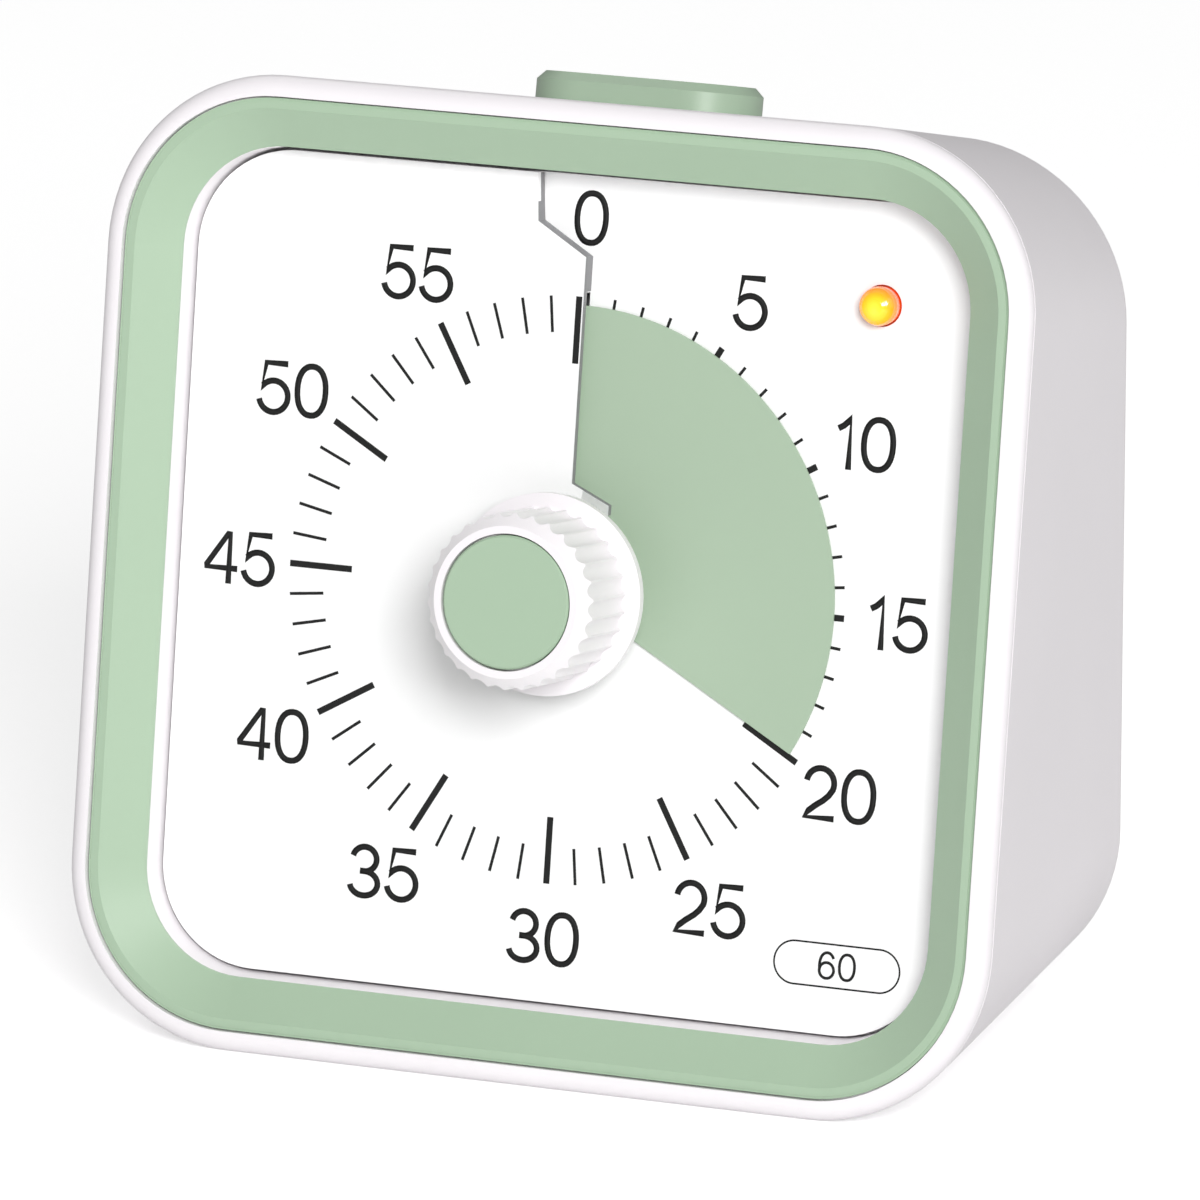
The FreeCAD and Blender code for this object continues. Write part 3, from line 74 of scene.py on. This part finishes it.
class TimerSizes(bpy.types.PropertyGroup):
    """Sizes of what is printed on the dial."""
    tick_outer: bpy.props.FloatProperty(
        name="Tick outer radius", description="Radius at which all ticks end",
        default=24.0 * MM, unit="LENGTH")
    tick_minor: bpy.props.FloatProperty(
        name="Minor tick radius", description="Inner radius of a one-minute tick",
        default=21.04 * MM, unit="LENGTH")
    tick_major: bpy.props.FloatProperty(
        name="Major tick radius", description="Inner radius of a five-minute tick",
        default=18.54 * MM, unit="LENGTH")
    minor_width: bpy.props.FloatProperty(
        name="Minor tick width", description="Line width of a one-minute tick",
        default=0.25 * MM, unit="LENGTH")
    major_width: bpy.props.FloatProperty(
        name="Major tick width", description="Line width of a five-minute tick",
        default=0.53 * MM, unit="LENGTH")
    numeral_height: bpy.props.FloatProperty(
        name="Numeral height", description="Height of the minute numerals",
        default=4.45 * MM, unit="LENGTH")
    numeral_radius: bpy.props.FloatProperty(
        name="Numeral radius", description="Distance of the numerals from the knob's axis",
        default=28.45 * MM, unit="LENGTH")
    numeral_stroke: bpy.props.FloatProperty(
        name="Numeral stroke", description="Line width of the numerals",
        default=0.52 * MM, unit="LENGTH")
    zero_height: bpy.props.FloatProperty(
        name="Zero place", description="Height of the zero above the knob's axis",
        default=30.3 * MM, unit="LENGTH")
    dial_pitch: bpy.props.FloatProperty(
        name="Dial pitch", description="Rise of the dial in one turn",
        default=1.5 * MM, unit="LENGTH")
    ink_height: bpy.props.FloatProperty(
        name="Ink height", description="How far the print stands above the dial",
        default=0.03 * MM, unit="LENGTH")


class TimerColours(bpy.types.PropertyGroup):
    """Colours of the visible mouldings."""
    shell: bpy.props.StringProperty(
        name="Shell", description="sRGB hex colour of the white case", default="F6F2F5")
    dial: bpy.props.StringProperty(
        name="Dial", description="sRGB hex colour of the dial plate", default="FBFBFB")
    trim: bpy.props.StringProperty(
        name="Trim", description="sRGB hex colour of bezel and knob cap", default="AAC2A8")
    film: bpy.props.StringProperty(
        name="Time disc", description="sRGB hex colour of the time disc", default="A9BEA6")
    button: bpy.props.StringProperty(
        name="Button", description="sRGB hex colour of the top button", default="A2B8A0")


def add(tree, kind, settings=None, inputs=None):
    """Add one shader node: settings are its fields, inputs are values or linked sockets."""
    item = tree.nodes.new(kind)
    for field, value in (settings or {}).items():
        setattr(item, field, value)
    for key, value in (inputs or {}).items():
        if isinstance(value, bpy.types.NodeSocket):
            tree.links.new(value, item.inputs[key])
        else:
            item.inputs[key].default_value = value
    return item


def new_material(name):
    """An empty node material with its shader and Object coordinates."""
    material = bpy.data.materials.new(name)
    material.use_nodes = True
    tree = material.node_tree
    tree.nodes.clear()
    place = add(tree, "ShaderNodeTexCoord").outputs["Object"]
    shader = add(tree, "ShaderNodeBsdfPrincipled")
    out = add(tree, "ShaderNodeOutputMaterial")
    tree.links.new(shader.outputs["BSDF"], out.inputs["Surface"])
    return material, tree, place, shader


def blend_shades(tree, factor, dark, light):
    """A colour between two shades by a factor socket."""
    mix = add(tree, "ShaderNodeMix", {"data_type": "RGBA"}, {0: factor, 6: dark, 7: light})
    return mix.outputs[2]


def shade(code, factor):
    """The same hue, darker or lighter."""
    return [c * factor for c in linear(code)[:3]] + [1.0]


def moulded(name, code, grain=0.22, depth=0.004, roughness=0.42, spread=0.03, coat=0.0):
    """Injection-moulded plastic with a fine spark-eroded grain and faint flow shading."""
    material, tree, place, shader = new_material(name)
    flow = add(tree, "ShaderNodeTexNoise", None, {"Vector": place, "Scale": 45.0, "Detail": 2.0})
    grit = add(tree, "ShaderNodeTexNoise", None,
               {"Vector": place, "Scale": 1 / (grain * MM), "Detail": 3.0, "Roughness": 0.55})
    colour = blend_shades(tree, flow.outputs["Fac"], shade(code, 1 - spread), shade(code, 1 + spread))
    sheen = add(tree, "ShaderNodeMapRange", None, {
        "Value": grit.outputs["Fac"], "To Min": roughness - 0.05, "To Max": roughness + 0.05})
    bump = add(tree, "ShaderNodeBump", None, {
        "Height": grit.outputs["Fac"], "Strength": 1.0, "Distance": depth * MM})
    for key, socket in (("Base Color", colour), ("Roughness", sheen.outputs["Result"]),
                        ("Normal", bump.outputs["Normal"])):
        tree.links.new(socket, shader.inputs[key])
    shader.inputs["IOR"].default_value = 1.5
    shader.inputs["Coat Weight"].default_value = coat
    shader.inputs["Coat Roughness"].default_value = 0.2
    return material


def drawn_metal(name, code, direction, roughness=0.3, spacing=0.08):
    """Drawn, ground or stamped metal with fine lines along one direction."""
    material, tree, place, shader = new_material(name)
    stretch = add(tree, "ShaderNodeMapping", None, {"Vector": place, "Scale": direction})
    lines = add(tree, "ShaderNodeTexNoise", None, {
        "Vector": stretch.outputs["Vector"], "Scale": 1 / (spacing * MM), "Detail": 3.0})
    colour = blend_shades(tree, lines.outputs["Fac"], shade(code, 0.9), shade(code, 1.08))
    sheen = add(tree, "ShaderNodeMapRange", None, {
        "Value": lines.outputs["Fac"], "To Min": roughness - 0.08, "To Max": roughness + 0.1})
    bump = add(tree, "ShaderNodeBump", None, {
        "Height": lines.outputs["Fac"], "Strength": 1.0, "Distance": 0.002 * MM})
    for key, socket in (("Base Color", colour), ("Roughness", sheen.outputs["Result"]),
                        ("Normal", bump.outputs["Normal"])):
        tree.links.new(socket, shader.inputs[key])
    shader.inputs["Metallic"].default_value = 1.0
    return material


def solder_mask(name):
    """Green solder mask over glass laminate; faint parallel copper runs show through."""
    material, tree, place, shader = new_material(name)
    runs = add(tree, "ShaderNodeTexWave", {"bands_direction": "X"}, {
        "Vector": place, "Scale": 190.0, "Distortion": 3.0, "Detail": 1.0})
    step = add(tree, "ShaderNodeMapRange", None, {
        "Value": runs.outputs["Fac"], "From Min": 0.6, "From Max": 0.7})
    colour = blend_shades(tree, step.outputs["Result"], linear("165A33"), linear("1F7A45"))
    weave = add(tree, "ShaderNodeTexNoise", None, {"Vector": place, "Scale": 3000.0})
    bump = add(tree, "ShaderNodeBump", None, {
        "Height": weave.outputs["Fac"], "Strength": 1.0, "Distance": 0.003 * MM})
    tree.links.new(colour, shader.inputs["Base Color"])
    tree.links.new(bump.outputs["Normal"], shader.inputs["Normal"])
    shader.inputs["Roughness"].default_value = 0.22
    return material


def cell_sleeve(name):
    """Heat-shrunk printed sleeve: dark body, copper bands near both ends, bare steel ends."""
    material, tree, place, shader = new_material(name)
    along = add(tree, "ShaderNodeSeparateXYZ", None, {"Vector": place}).outputs["X"]
    band = add(tree, "ShaderNodeMath", {"operation": "ABSOLUTE"}, {0: along})
    ring = add(tree, "ShaderNodeMapRange", None, {
        "Value": band.outputs["Value"], "From Min": 12.0 * MM, "From Max": 12.2 * MM})
    steel = add(tree, "ShaderNodeMapRange", None, {
        "Value": band.outputs["Value"], "From Min": 21.4 * MM, "From Max": 21.5 * MM})
    wrap = blend_shades(tree, ring.outputs["Result"], linear("2A2D31"), linear("B4733C"))
    colour = blend_shades(tree, steel.outputs["Result"], wrap, linear("B9B9B5"))
    fleck = add(tree, "ShaderNodeTexNoise", None, {"Vector": place, "Scale": 900.0})
    bump = add(tree, "ShaderNodeBump", None, {
        "Height": fleck.outputs["Fac"], "Strength": 1.0, "Distance": 0.002 * MM})
    tree.links.new(colour, shader.inputs["Base Color"])
    tree.links.new(steel.outputs["Result"], shader.inputs["Metallic"])
    tree.links.new(bump.outputs["Normal"], shader.inputs["Normal"])
    shader.inputs["Roughness"].default_value = 0.3
    return material


def lit_lens(name, centre):
    """Tinted epoxy lens of a lit diode: a yellow glow inside an orange-red edge."""
    material, tree, place, shader = new_material(name)
    shift = add(tree, "ShaderNodeVectorMath", {"operation": "DISTANCE"}, {0: place, 1: centre})
    ramp = add(tree, "ShaderNodeValToRGB", None, {0: add(tree, "ShaderNodeMapRange", None, {
        "Value": shift.outputs["Value"], "From Max": 2.2 * MM}).outputs["Result"]})
    stops = ramp.color_ramp.elements
    stops[0].position, stops[0].color = 0.0, linear("FFEE4A")
    stops[1].position, stops[1].color = 1.0, linear("E2480C")
    middle = stops.new(0.42)
    middle.color = linear("FFC81E")
    edge = stops.new(0.7)
    edge.color = linear("FA9410")
    tree.links.new(ramp.outputs["Color"], shader.inputs["Base Color"])
    tree.links.new(ramp.outputs["Color"], shader.inputs["Emission Color"])
    shader.inputs["Emission Strength"].default_value = 0.3
    shader.inputs["Roughness"].default_value = 0.12
    shader.inputs["Coat Weight"].default_value = 0.6
    return material


FINISHES = {}


def build_finishes(colours):
    """All materials by the record's slot."""
    lamp_low, lamp_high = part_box("indicator_light")
    lamp = (lamp_low + lamp_high) / 2 + OUT * 2.6 * MM
    FINISHES.update({
        # ABS, spark-eroded mould: an even satin white with a just visible grain.
        "white_shell": moulded("white satin ABS", colours.shell),
        # Polystyrene, polished mould: smoother and a little whiter than the case.
        "white_dial": moulded("white smooth polystyrene", colours.dial, 0.5, 0.001, 0.5, 0.01),
        # ABS as the case, polished a little by fingers.
        "white_knob": moulded("white knob ABS", colours.shell, 0.2, 0.003, 0.36, 0.02),
        # Coloured ABS with the same fine grain.
        "green_trim": moulded("sage satin ABS", colours.trim, 0.22, 0.004, 0.42, 0.02),
        # Polyester film, dyed through, with a matt lacquer.
        "green_film": moulded("sage matt polyester film", colours.film, 0.3, 0.0015, 0.55, 0.015),
        "green_button": moulded("sage button ABS", colours.button, 0.2, 0.003, 0.4, 0.02),
        # Acetal, unfilled: milky and slightly waxy.
        "wheel_plastic": moulded("natural acetal", "E6E0CC", 0.3, 0.002, 0.38, 0.03, 0.2),
        "grey_plastic": moulded("grey satin ABS", "C6C8CA", 0.25, 0.004, 0.45, 0.03),
        "black_plastic": moulded("black moulding compound", "151515", 0.15, 0.004, 0.5, 0.2),
        "dark_plunger": moulded("dark acetal", "333335", 0.2, 0.003, 0.4, 0.1),
        "bright_steel": drawn_metal("ground steel", "B8B8BA", (1.0, 0.05, 1.0), 0.25),
        "spring_steel": drawn_metal("hard drawn spring steel", "A6A6A8", (0.1, 1.0, 1.0), 0.3),
        "zinc_screw": drawn_metal("zinc plated steel", "9C9DA0", (1.0, 1.0, 0.4), 0.38, 0.15),
        "rotor_magnet": drawn_metal("sintered ferrite", "3A3A3D", (1.0, 1.0, 1.0), 0.6, 0.05),
        "stator_steel": drawn_metal("stamped silicon steel", "86888C", (0.3, 1.0, 1.0), 0.42),
        # Enamelled copper wire, 0.1 mm: the lines run round the coil.
        "copper_wire": drawn_metal("enamelled copper wire", "B26A3B", (1.0, 0.05, 0.05), 0.28, 0.1),
        "contact_nickel": drawn_metal("nickel plated spring strip", "C2BEB4", (0.2, 1.0, 1.0), 0.26),
        "tinned_wire": drawn_metal("tinned copper", "B4B6B8", (1.0, 0.1, 1.0), 0.32),
        "brass_bush": drawn_metal("turned brass", "C29E52", (0.1, 1.0, 0.1), 0.26),
        "circuit_board": solder_mask("green solder mask"),
        "cell_wrap": cell_sleeve("printed battery sleeve"),
        "amber_lens": lit_lens("lit amber epoxy", lamp),
        # Painted shade for the dial's step wall at its seam: a grey strip that stands in for the
        # shadow on that wall, a little rough.
        "seam_painted_shade": moulded("painted shade on dial step", "8E8E90", 0.15, 0.006, 0.7, 0.12),
        # Screen-printing ink: dense, flat and faintly rough from the mesh.
        "print": moulded("black screen ink", "050505", 0.12, 0.002, 0.7, 0.1),
    })


def dress_nodes():
    """Give each CAD node the finish of its slot."""
    for row in frame["record"]["subparts"]:
        target = frame["nodes"][row["node"]].data
        target.materials.clear()
        target.materials.append(FINISHES[row["material_slot"]])


# Outside the numerals the dial's seam swings left of twelve o'clock by this part of a turn.
SEAM_SWING = 7.4 / 360


def ramp_height(pitch, x, y, before_zero=False):
    """Height of the dial over its mean plane; it climbs clockwise from the seam."""
    swing = SEAM_SWING if before_zero else 0.0
    turn = (math.atan2(x, y) / (2 * math.pi) + swing) % 1.0 - swing
    return pitch * (turn - 0.5)


def lay_on_dial(mesh, pitch, before_zero=False):
    """Carry a mesh drawn in the face's plane onto the dial."""
    for vertex in mesh.verts:
        vertex.co.z += ramp_height(pitch, vertex.co.x, vertex.co.y, before_zero)
    bmesh.ops.transform(mesh, matrix=FACE, verts=mesh.verts)


def keep(mesh, name, finish, body):
    """Make a finished piece of a bmesh, that rides on a body."""
    data = bpy.data.meshes.new(name)
    mesh.to_mesh(data)
    mesh.free()
    data.materials.append(finish)
    piece = bpy.data.objects.new(name, data)
    bpy.context.scene.collection.objects.link(piece)
    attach(piece, body)


def bow(x, y, width, height, start, end, steps=14, power=2.0):
    """Points on an oval from one angle to another, in degrees; a higher power squares it."""
    points = []
    for i in range(steps + 1):
        angle = math.radians(start + (end - start) * i / steps)
        c, s = math.cos(angle), math.sin(angle)
        points.append((x + width * math.copysign(abs(c) ** (2 / power), c),
                       y + height * math.copysign(abs(s) ** (2 / power), s)))
    return points


# Centre lines of the numerals for a height of 1, each with its width.
GLYPHS = {
    "0": (0.67, [(bow(0.335, 0.5, 0.28, 0.452, 90, -270, 32, 2.25), True)]),
    "1": (0.50, [([(0.12, 0.735), (0.22, 0.79), (0.30, 0.865), (0.352, 0.955), (0.352, 0.0)], False)]),
    "2": (0.67, [(bow(0.325, 0.675, 0.265, 0.277, 172, -22, 20) +
                  [(0.50, 0.465), (0.40, 0.37), (0.25, 0.265), (0.13, 0.165), (0.062, 0.0485),
                   (0.625, 0.0485)], False)]),
    "3": (0.67, [(bow(0.322, 0.725, 0.236, 0.227, 168, -82, 18) + [(0.24, 0.503)], False),
                 ([(0.24, 0.503)] + bow(0.325, 0.276, 0.275, 0.227, 82, -170, 20), False)]),
    "4": (0.67, [([(0.66, 0.285), (0.047, 0.285), (0.047, 0.33), (0.45, 0.925), (0.492, 0.925),
                   (0.492, 0.0)], False)]),
    "5": (0.67, [([(0.585, 0.9515), (0.155, 0.9515), (0.083, 0.47)] +
                  bow(0.325, 0.338, 0.287, 0.290, 138, -168, 26), False)]),
    "6": (0.67, [(bow(0.34, 0.326, 0.268, 0.278, 180, -180, 28), True),
                 (bow(0.345, 0.50, 0.273, 0.452, 200, 32, 22, 2.2), False)]),
}


def stroke_text(text, height, stroke, thick, gap=0.07):
    """A flat mesh of a word or number, centred on the origin."""
    widths = [GLYPHS[letter][0] for letter in text]
    total = sum(widths) + gap * (len(text) - 1)
    cursor = -total / 2
    curve = bpy.data.curves.new("stroke", "CURVE")
    curve.dimensions = "3D"
    curve.bevel_depth = stroke / 2
    curve.bevel_resolution = 0
    curve.use_fill_caps = True
    for letter, width in zip(text, widths):
        for points, closed in GLYPHS[letter][1]:
            if closed:
                points = points[:-1]
            spline = curve.splines.new("POLY")
            spline.points.add(len(points) - 1)
            spline.use_cyclic_u = closed
            for point, (x, y) in zip(spline.points, points):
                point.co = ((cursor + x) * height, (y - 0.5) * height, 0, 1)
        cursor += width + gap
    holder = bpy.data.objects.new("stroke", curve)
    bpy.context.scene.collection.objects.link(holder)
    flat = bpy.data.meshes.new_from_object(holder)
    mesh = bmesh.new()
    mesh.from_mesh(flat)
    bpy.data.objects.remove(holder)
    bpy.data.curves.remove(curve)
    bpy.data.meshes.remove(flat)
    bmesh.ops.scale(mesh, vec=(1, 1, thick / stroke), verts=mesh.verts)
    bmesh.ops.translate(mesh, vec=(0, 0, thick / 2), verts=mesh.verts)
    return mesh


def join_into(target, part):
    """Add one bmesh to another and free it."""
    data = bpy.data.meshes.new("part")
    part.to_mesh(data)
    part.free()
    target.from_mesh(data)
    bpy.data.meshes.remove(data)


class TIMER_OT_finishes(bpy.types.Operator):
    """Builds every finish and gives it to the CAD nodes"""
    bl_idname = "timer.finishes"
    bl_label = "Finishes"

    def execute(self, context):
        build_finishes(context.scene.timer_colours)
        dress_nodes()
        return {"FINISHED"}


class TIMER_OT_ticks(bpy.types.Operator):
    """Prints the sixty minute ticks round the dial"""
    bl_idname = "timer.ticks"
    bl_label = "Ticks"

    def execute(self, context):
        sizes = context.scene.timer_sizes
        whole = bmesh.new()
        for minute in range(60):
            major = minute % 5 == 0
            inner = sizes.tick_major if major else sizes.tick_minor
            width = sizes.major_width if major else sizes.minor_width
            bar = bmesh.new()
            bmesh.ops.create_cube(bar, size=1)
            bmesh.ops.scale(bar, vec=(width, sizes.tick_outer - inner, sizes.ink_height),
                            verts=bar.verts)
            bmesh.ops.translate(bar, vec=(0, (sizes.tick_outer + inner) / 2, sizes.ink_height / 2),
                                verts=bar.verts)
            angle = -2 * math.pi * minute / 60
            bmesh.ops.rotate(bar, matrix=Matrix.Rotation(angle, 3, "Z"), verts=bar.verts)
            if minute == 0:
                bmesh.ops.translate(bar, vec=(-sizes.minor_width * 0.25, 0, sizes.dial_pitch / 2),
                                    verts=bar.verts)
                bmesh.ops.transform(bar, matrix=FACE, verts=bar.verts)
            else:
                lay_on_dial(bar, sizes.dial_pitch)
            join_into(whole, bar)
        keep(whole, "dial_ticks", FINISHES["print"], "case")
        return {"FINISHED"}


class TIMER_OT_numerals(bpy.types.Operator):
    """Prints the minute numerals round the dial"""
    bl_idname = "timer.numerals"
    bl_label = "Numerals"

    def execute(self, context):
        sizes = context.scene.timer_sizes
        whole = bmesh.new()
        for minute in range(0, 60, 5):
            word = stroke_text(str(minute), sizes.numeral_height, sizes.numeral_stroke,
                               sizes.ink_height)
            angle = 2 * math.pi * minute / 60
            reach = sizes.numeral_radius if minute else sizes.zero_height
            bmesh.ops.translate(word, vec=(reach * math.sin(angle), reach * math.cos(angle), 0),
                                verts=word.verts)
            lay_on_dial(word, sizes.dial_pitch, before_zero=minute == 0)
            join_into(whole, word)
        keep(whole, "dial_numerals", FINISHES["print"], "case")
        return {"FINISHED"}


# The range mark in millimetres: its number, its outline and its place from the knob's axis.
MARK_HEIGHT = 2.3
MARK_STROKE = 0.24
MARK_PLACE = (25.4, -28.1)
PILL_END = 3.625
PILL_RADII = (1.825, 1.685)
# The space between the mark's digits as a share of their height, and the steps of each round end.
MARK_GAP = 0.09
PILL_STEPS = 24


class TIMER_OT_range_mark(bpy.types.Operator):
    """Prints the outlined mark that gives the timer's range"""
    bl_idname = "timer.range_mark"
    bl_label = "Range mark"

    def execute(self, context):
        sizes = context.scene.timer_sizes
        ink = sizes.ink_height
        whole = stroke_text("60", MARK_HEIGHT * MM, MARK_STROKE * MM, ink, MARK_GAP)
        ring = bmesh.new()
        outer, inner = [[ring.verts.new((x * MM, y * MM, ink)) for x, y in
                         bow(PILL_END, 0, radius, radius, -90, 90, PILL_STEPS) +
                         bow(-PILL_END, 0, radius, radius, 90, 270, PILL_STEPS)]
                        for radius in PILL_RADII]
        for i in range(len(outer)):
            ring.faces.new((outer[i - 1], outer[i], inner[i], inner[i - 1]))
        bmesh.ops.solidify(ring, geom=ring.faces[:], thickness=ink)
        bmesh.ops.recalc_face_normals(ring, faces=ring.faces)
        join_into(whole, ring)
        x, y = MARK_PLACE
        bmesh.ops.translate(whole, vec=(x * MM, y * MM, ink / 2), verts=whole.verts)
        lay_on_dial(whole, sizes.dial_pitch)
        keep(whole, "range_mark", FINISHES["print"], "case")
        return {"FINISHED"}


# The dial's seam in two stretches, each with the height of its foot: millimetres from the
# knob's axis and over the mean dial plane.
SEAM_LINES = (([(-4.36, 33.7), (-3.99, 29.83), (0.35, 27.23), (0.35, 24.4)], -0.74),
              ([(0.35, 24.4), (0.35, 8.83), (3.63, 7.33), (3.63, 6.5)], 0.17))
SEAM_TOP = 0.73
SEAM_THICK = 0.04
WELD = 0.001
# The dial's raised end beside the knob, in the same millimetres.
TAB_CORNERS = [(0.3, 8.8), (3.6, 7.3), (3.6, 6.5), (0.3, 6.5)]
TAB_TOP = 0.745
TAB_THICK = 0.6


class TIMER_OT_dial_edge(bpy.types.Operator):
    """Adds the raised end of the dial beside the knob and a thin grey strip of painted shade on the
    step wall of its seam
    """
    bl_idname = "timer.dial_edge"
    bl_label = "Dial edge"

    def execute(self, context):
        # A thin grey sheet on the seam's step wall: painted shade where that wall lies in shadow.
        wall = bmesh.new()
        for line, low in SEAM_LINES:
            for (x0, y0), (x1, y1) in zip(line, line[1:]):
                wall.faces.new([wall.verts.new((x * MM, y * MM, z * MM)) for x, y, z in (
                    (x0, y0, low), (x0, y0, SEAM_TOP), (x1, y1, SEAM_TOP), (x1, y1, low))])
        bmesh.ops.remove_doubles(wall, verts=wall.verts, dist=WELD * MM)
        bmesh.ops.solidify(wall, geom=wall.faces[:], thickness=SEAM_THICK * MM)
        bmesh.ops.recalc_face_normals(wall, faces=wall.faces)
        bmesh.ops.transform(wall, matrix=FACE, verts=wall.verts)
        keep(wall, "dial_edge", FINISHES["seam_painted_shade"], "case")
        end = bmesh.new()
        end.faces.new([end.verts.new((x * MM, y * MM, TAB_TOP * MM)) for x, y in TAB_CORNERS])
        bmesh.ops.solidify(end, geom=end.faces[:], thickness=TAB_THICK * MM)
        bmesh.ops.recalc_face_normals(end, faces=end.faces)
        bmesh.ops.transform(end, matrix=FACE, verts=end.verts)
        keep(end, "dial_tab", FINISHES["white_dial"], "case")
        return {"FINISHED"}


# Half the floor's side, and how far it lies under the timer, in metres.
FLOOR_HALF = 2.0
FLOOR_DROP = 0.00002
# How far the floor is lifted where the camera sees it, and how strongly the surround lights.
FLOOR_LIFT = 0.45
SURROUND_LIGHT = 0.29
# The camera's focal length and frame in pixels, and its sensor in millimetres.
FOCAL_PIXELS = 11584.88
FRAME_PIXELS = 1200
SENSOR_WIDTH = 36
# The camera's place in metres right of, above and in front of the dial's centre, and its
# dip and turn in degrees.
CAMERA_PLACE = (0.3328, 0.0967, 0.8734)
CAMERA_DIP = 15.28
CAMERA_TURN = 21.355


class TIMER_OT_stage(bpy.types.Operator):
    """Sets the floor, the lamps, the world and the camera"""
    bl_idname = "timer.stage"
    bl_label = "Stage"

    def execute(self, context):
        scene = context.scene
        floor = bmesh.new()
        bmesh.ops.create_grid(floor, x_segments=1, y_segments=1, size=FLOOR_HALF)
        data = bpy.data.meshes.new("floor")
        floor.to_mesh(data)
        floor.free()
        ground = bpy.data.objects.new("floor", data)
        scene.collection.objects.link(ground)
        ground.location.z = -FLOOR_DROP
        data.materials.append(self.floor_material())
        self.white_world(scene)
        lamp("key", (0.62, -1.05, 0.60), 0.5, 14.0)
        lamp("top", (-0.55, 0.75, 1.15), 0.7, 2.5)
        camera = bpy.data.cameras.new("camera")
        camera.lens = FOCAL_PIXELS / FRAME_PIXELS * SENSOR_WIDTH
        camera.sensor_width = SENSOR_WIDTH
        camera.clip_end = 10
        holder = bpy.data.objects.new("camera", camera)
        scene.collection.objects.link(holder)
        holder.location = FACE @ Vector(CAMERA_PLACE)
        holder.rotation_euler = Euler((math.radians(90 - CAMERA_DIP), 0, math.radians(CAMERA_TURN)))
        scene.camera = holder
        scene.view_settings.view_transform = "Standard"
        return {"FINISHED"}

    def floor_material(self):
        """Matt white paper; seen directly it is lifted a little so that it meets the backdrop."""
        material, tree, place, shader = new_material("white paper floor")
        fibre = add(tree, "ShaderNodeTexNoise", None, {"Vector": place, "Scale": 900.0})
        colour = blend_shades(tree, fibre.outputs["Fac"], linear("F6F6F6"), linear("FAFAFA"))
        tree.links.new(colour, shader.inputs["Base Color"])
        shader.inputs["Roughness"].default_value = 0.9
        shader.inputs["Specular IOR Level"].default_value = 0.1
        path = add(tree, "ShaderNodeLightPath").outputs["Is Camera Ray"]
        lift = add(tree, "ShaderNodeMath", {"operation": "MULTIPLY"}, {0: path, 1: FLOOR_LIFT})
        shader.inputs["Emission Color"].default_value = (1, 1, 1, 1)
        tree.links.new(lift.outputs["Value"], shader.inputs["Emission Strength"])
        return material

    def white_world(self, scene):
        """An even pale surround that the camera and glass see as white."""
        world = bpy.data.worlds.new("surround")
        scene.world = world
        world.use_nodes = True
        tree = world.node_tree
        tree.nodes.clear()
        path = add(tree, "ShaderNodeLightPath")
        seen = add(tree, "ShaderNodeMath", {"operation": "MAXIMUM"}, {
            0: path.outputs["Is Camera Ray"], 1: path.outputs["Is Transmission Ray"]})
        level = add(tree, "ShaderNodeMapRange", None, {
            "Value": seen.outputs["Value"], "To Min": SURROUND_LIGHT, "To Max": 1.0})
        light = add(tree, "ShaderNodeBackground", None, {
            "Color": (1, 1, 1, 1), "Strength": level.outputs["Result"]})
        out = add(tree, "ShaderNodeOutputWorld")
        tree.links.new(light.outputs["Background"], out.inputs["Surface"])


def lamp(name, place, size, power):
    """A square soft lamp that faces the timer."""
    light = bpy.data.lights.new(name, "AREA")
    light.shape = "SQUARE"
    light.size = size
    light.energy = power
    holder = bpy.data.objects.new(name, light)
    bpy.context.scene.collection.objects.link(holder)
    holder.location = place
    aim = Vector((0, 0, 0.04)) - holder.location
    holder.rotation_euler = aim.to_track_quat("-Z", "Y").to_euler()


STEPS = (TIMER_OT_finishes, TIMER_OT_ticks, TIMER_OT_numerals, TIMER_OT_range_mark,
         TIMER_OT_dial_edge, TIMER_OT_stage)


class TIMER_PT_panel(bpy.types.Panel):
    """Lists the timer's build steps"""
    bl_idname = "TIMER_PT_panel"
    bl_label = "Timer"
    bl_space_type = "VIEW_3D"
    bl_region_type = "UI"
    bl_category = "Timer"

    def draw(self, context):
        for step in STEPS:
            self.layout.operator(step.bl_idname)
        for name in TimerSizes.__annotations__:
            self.layout.prop(context.scene.timer_sizes, name)
        for name in TimerColours.__annotations__:
            self.layout.prop(context.scene.timer_colours, name)


CLASSES = (TimerSizes, TimerColours) + STEPS + (TIMER_PT_panel,)


def register():
    for cls in CLASSES:
        bpy.utils.register_class(cls)
    bpy.types.Scene.timer_sizes = bpy.props.PointerProperty(type=TimerSizes)
    bpy.types.Scene.timer_colours = bpy.props.PointerProperty(type=TimerColours)


def unregister():
    del bpy.types.Scene.timer_colours
    del bpy.types.Scene.timer_sizes
    for cls in reversed(CLASSES):
        bpy.utils.unregister_class(cls)


def main():
    register()
    bpy.ops.timer.finishes()
    bpy.ops.timer.ticks()
    bpy.ops.timer.numerals()
    bpy.ops.timer.range_mark()
    bpy.ops.timer.dial_edge()
    bpy.ops.timer.stage()


if __name__ == "__main__":
    main()
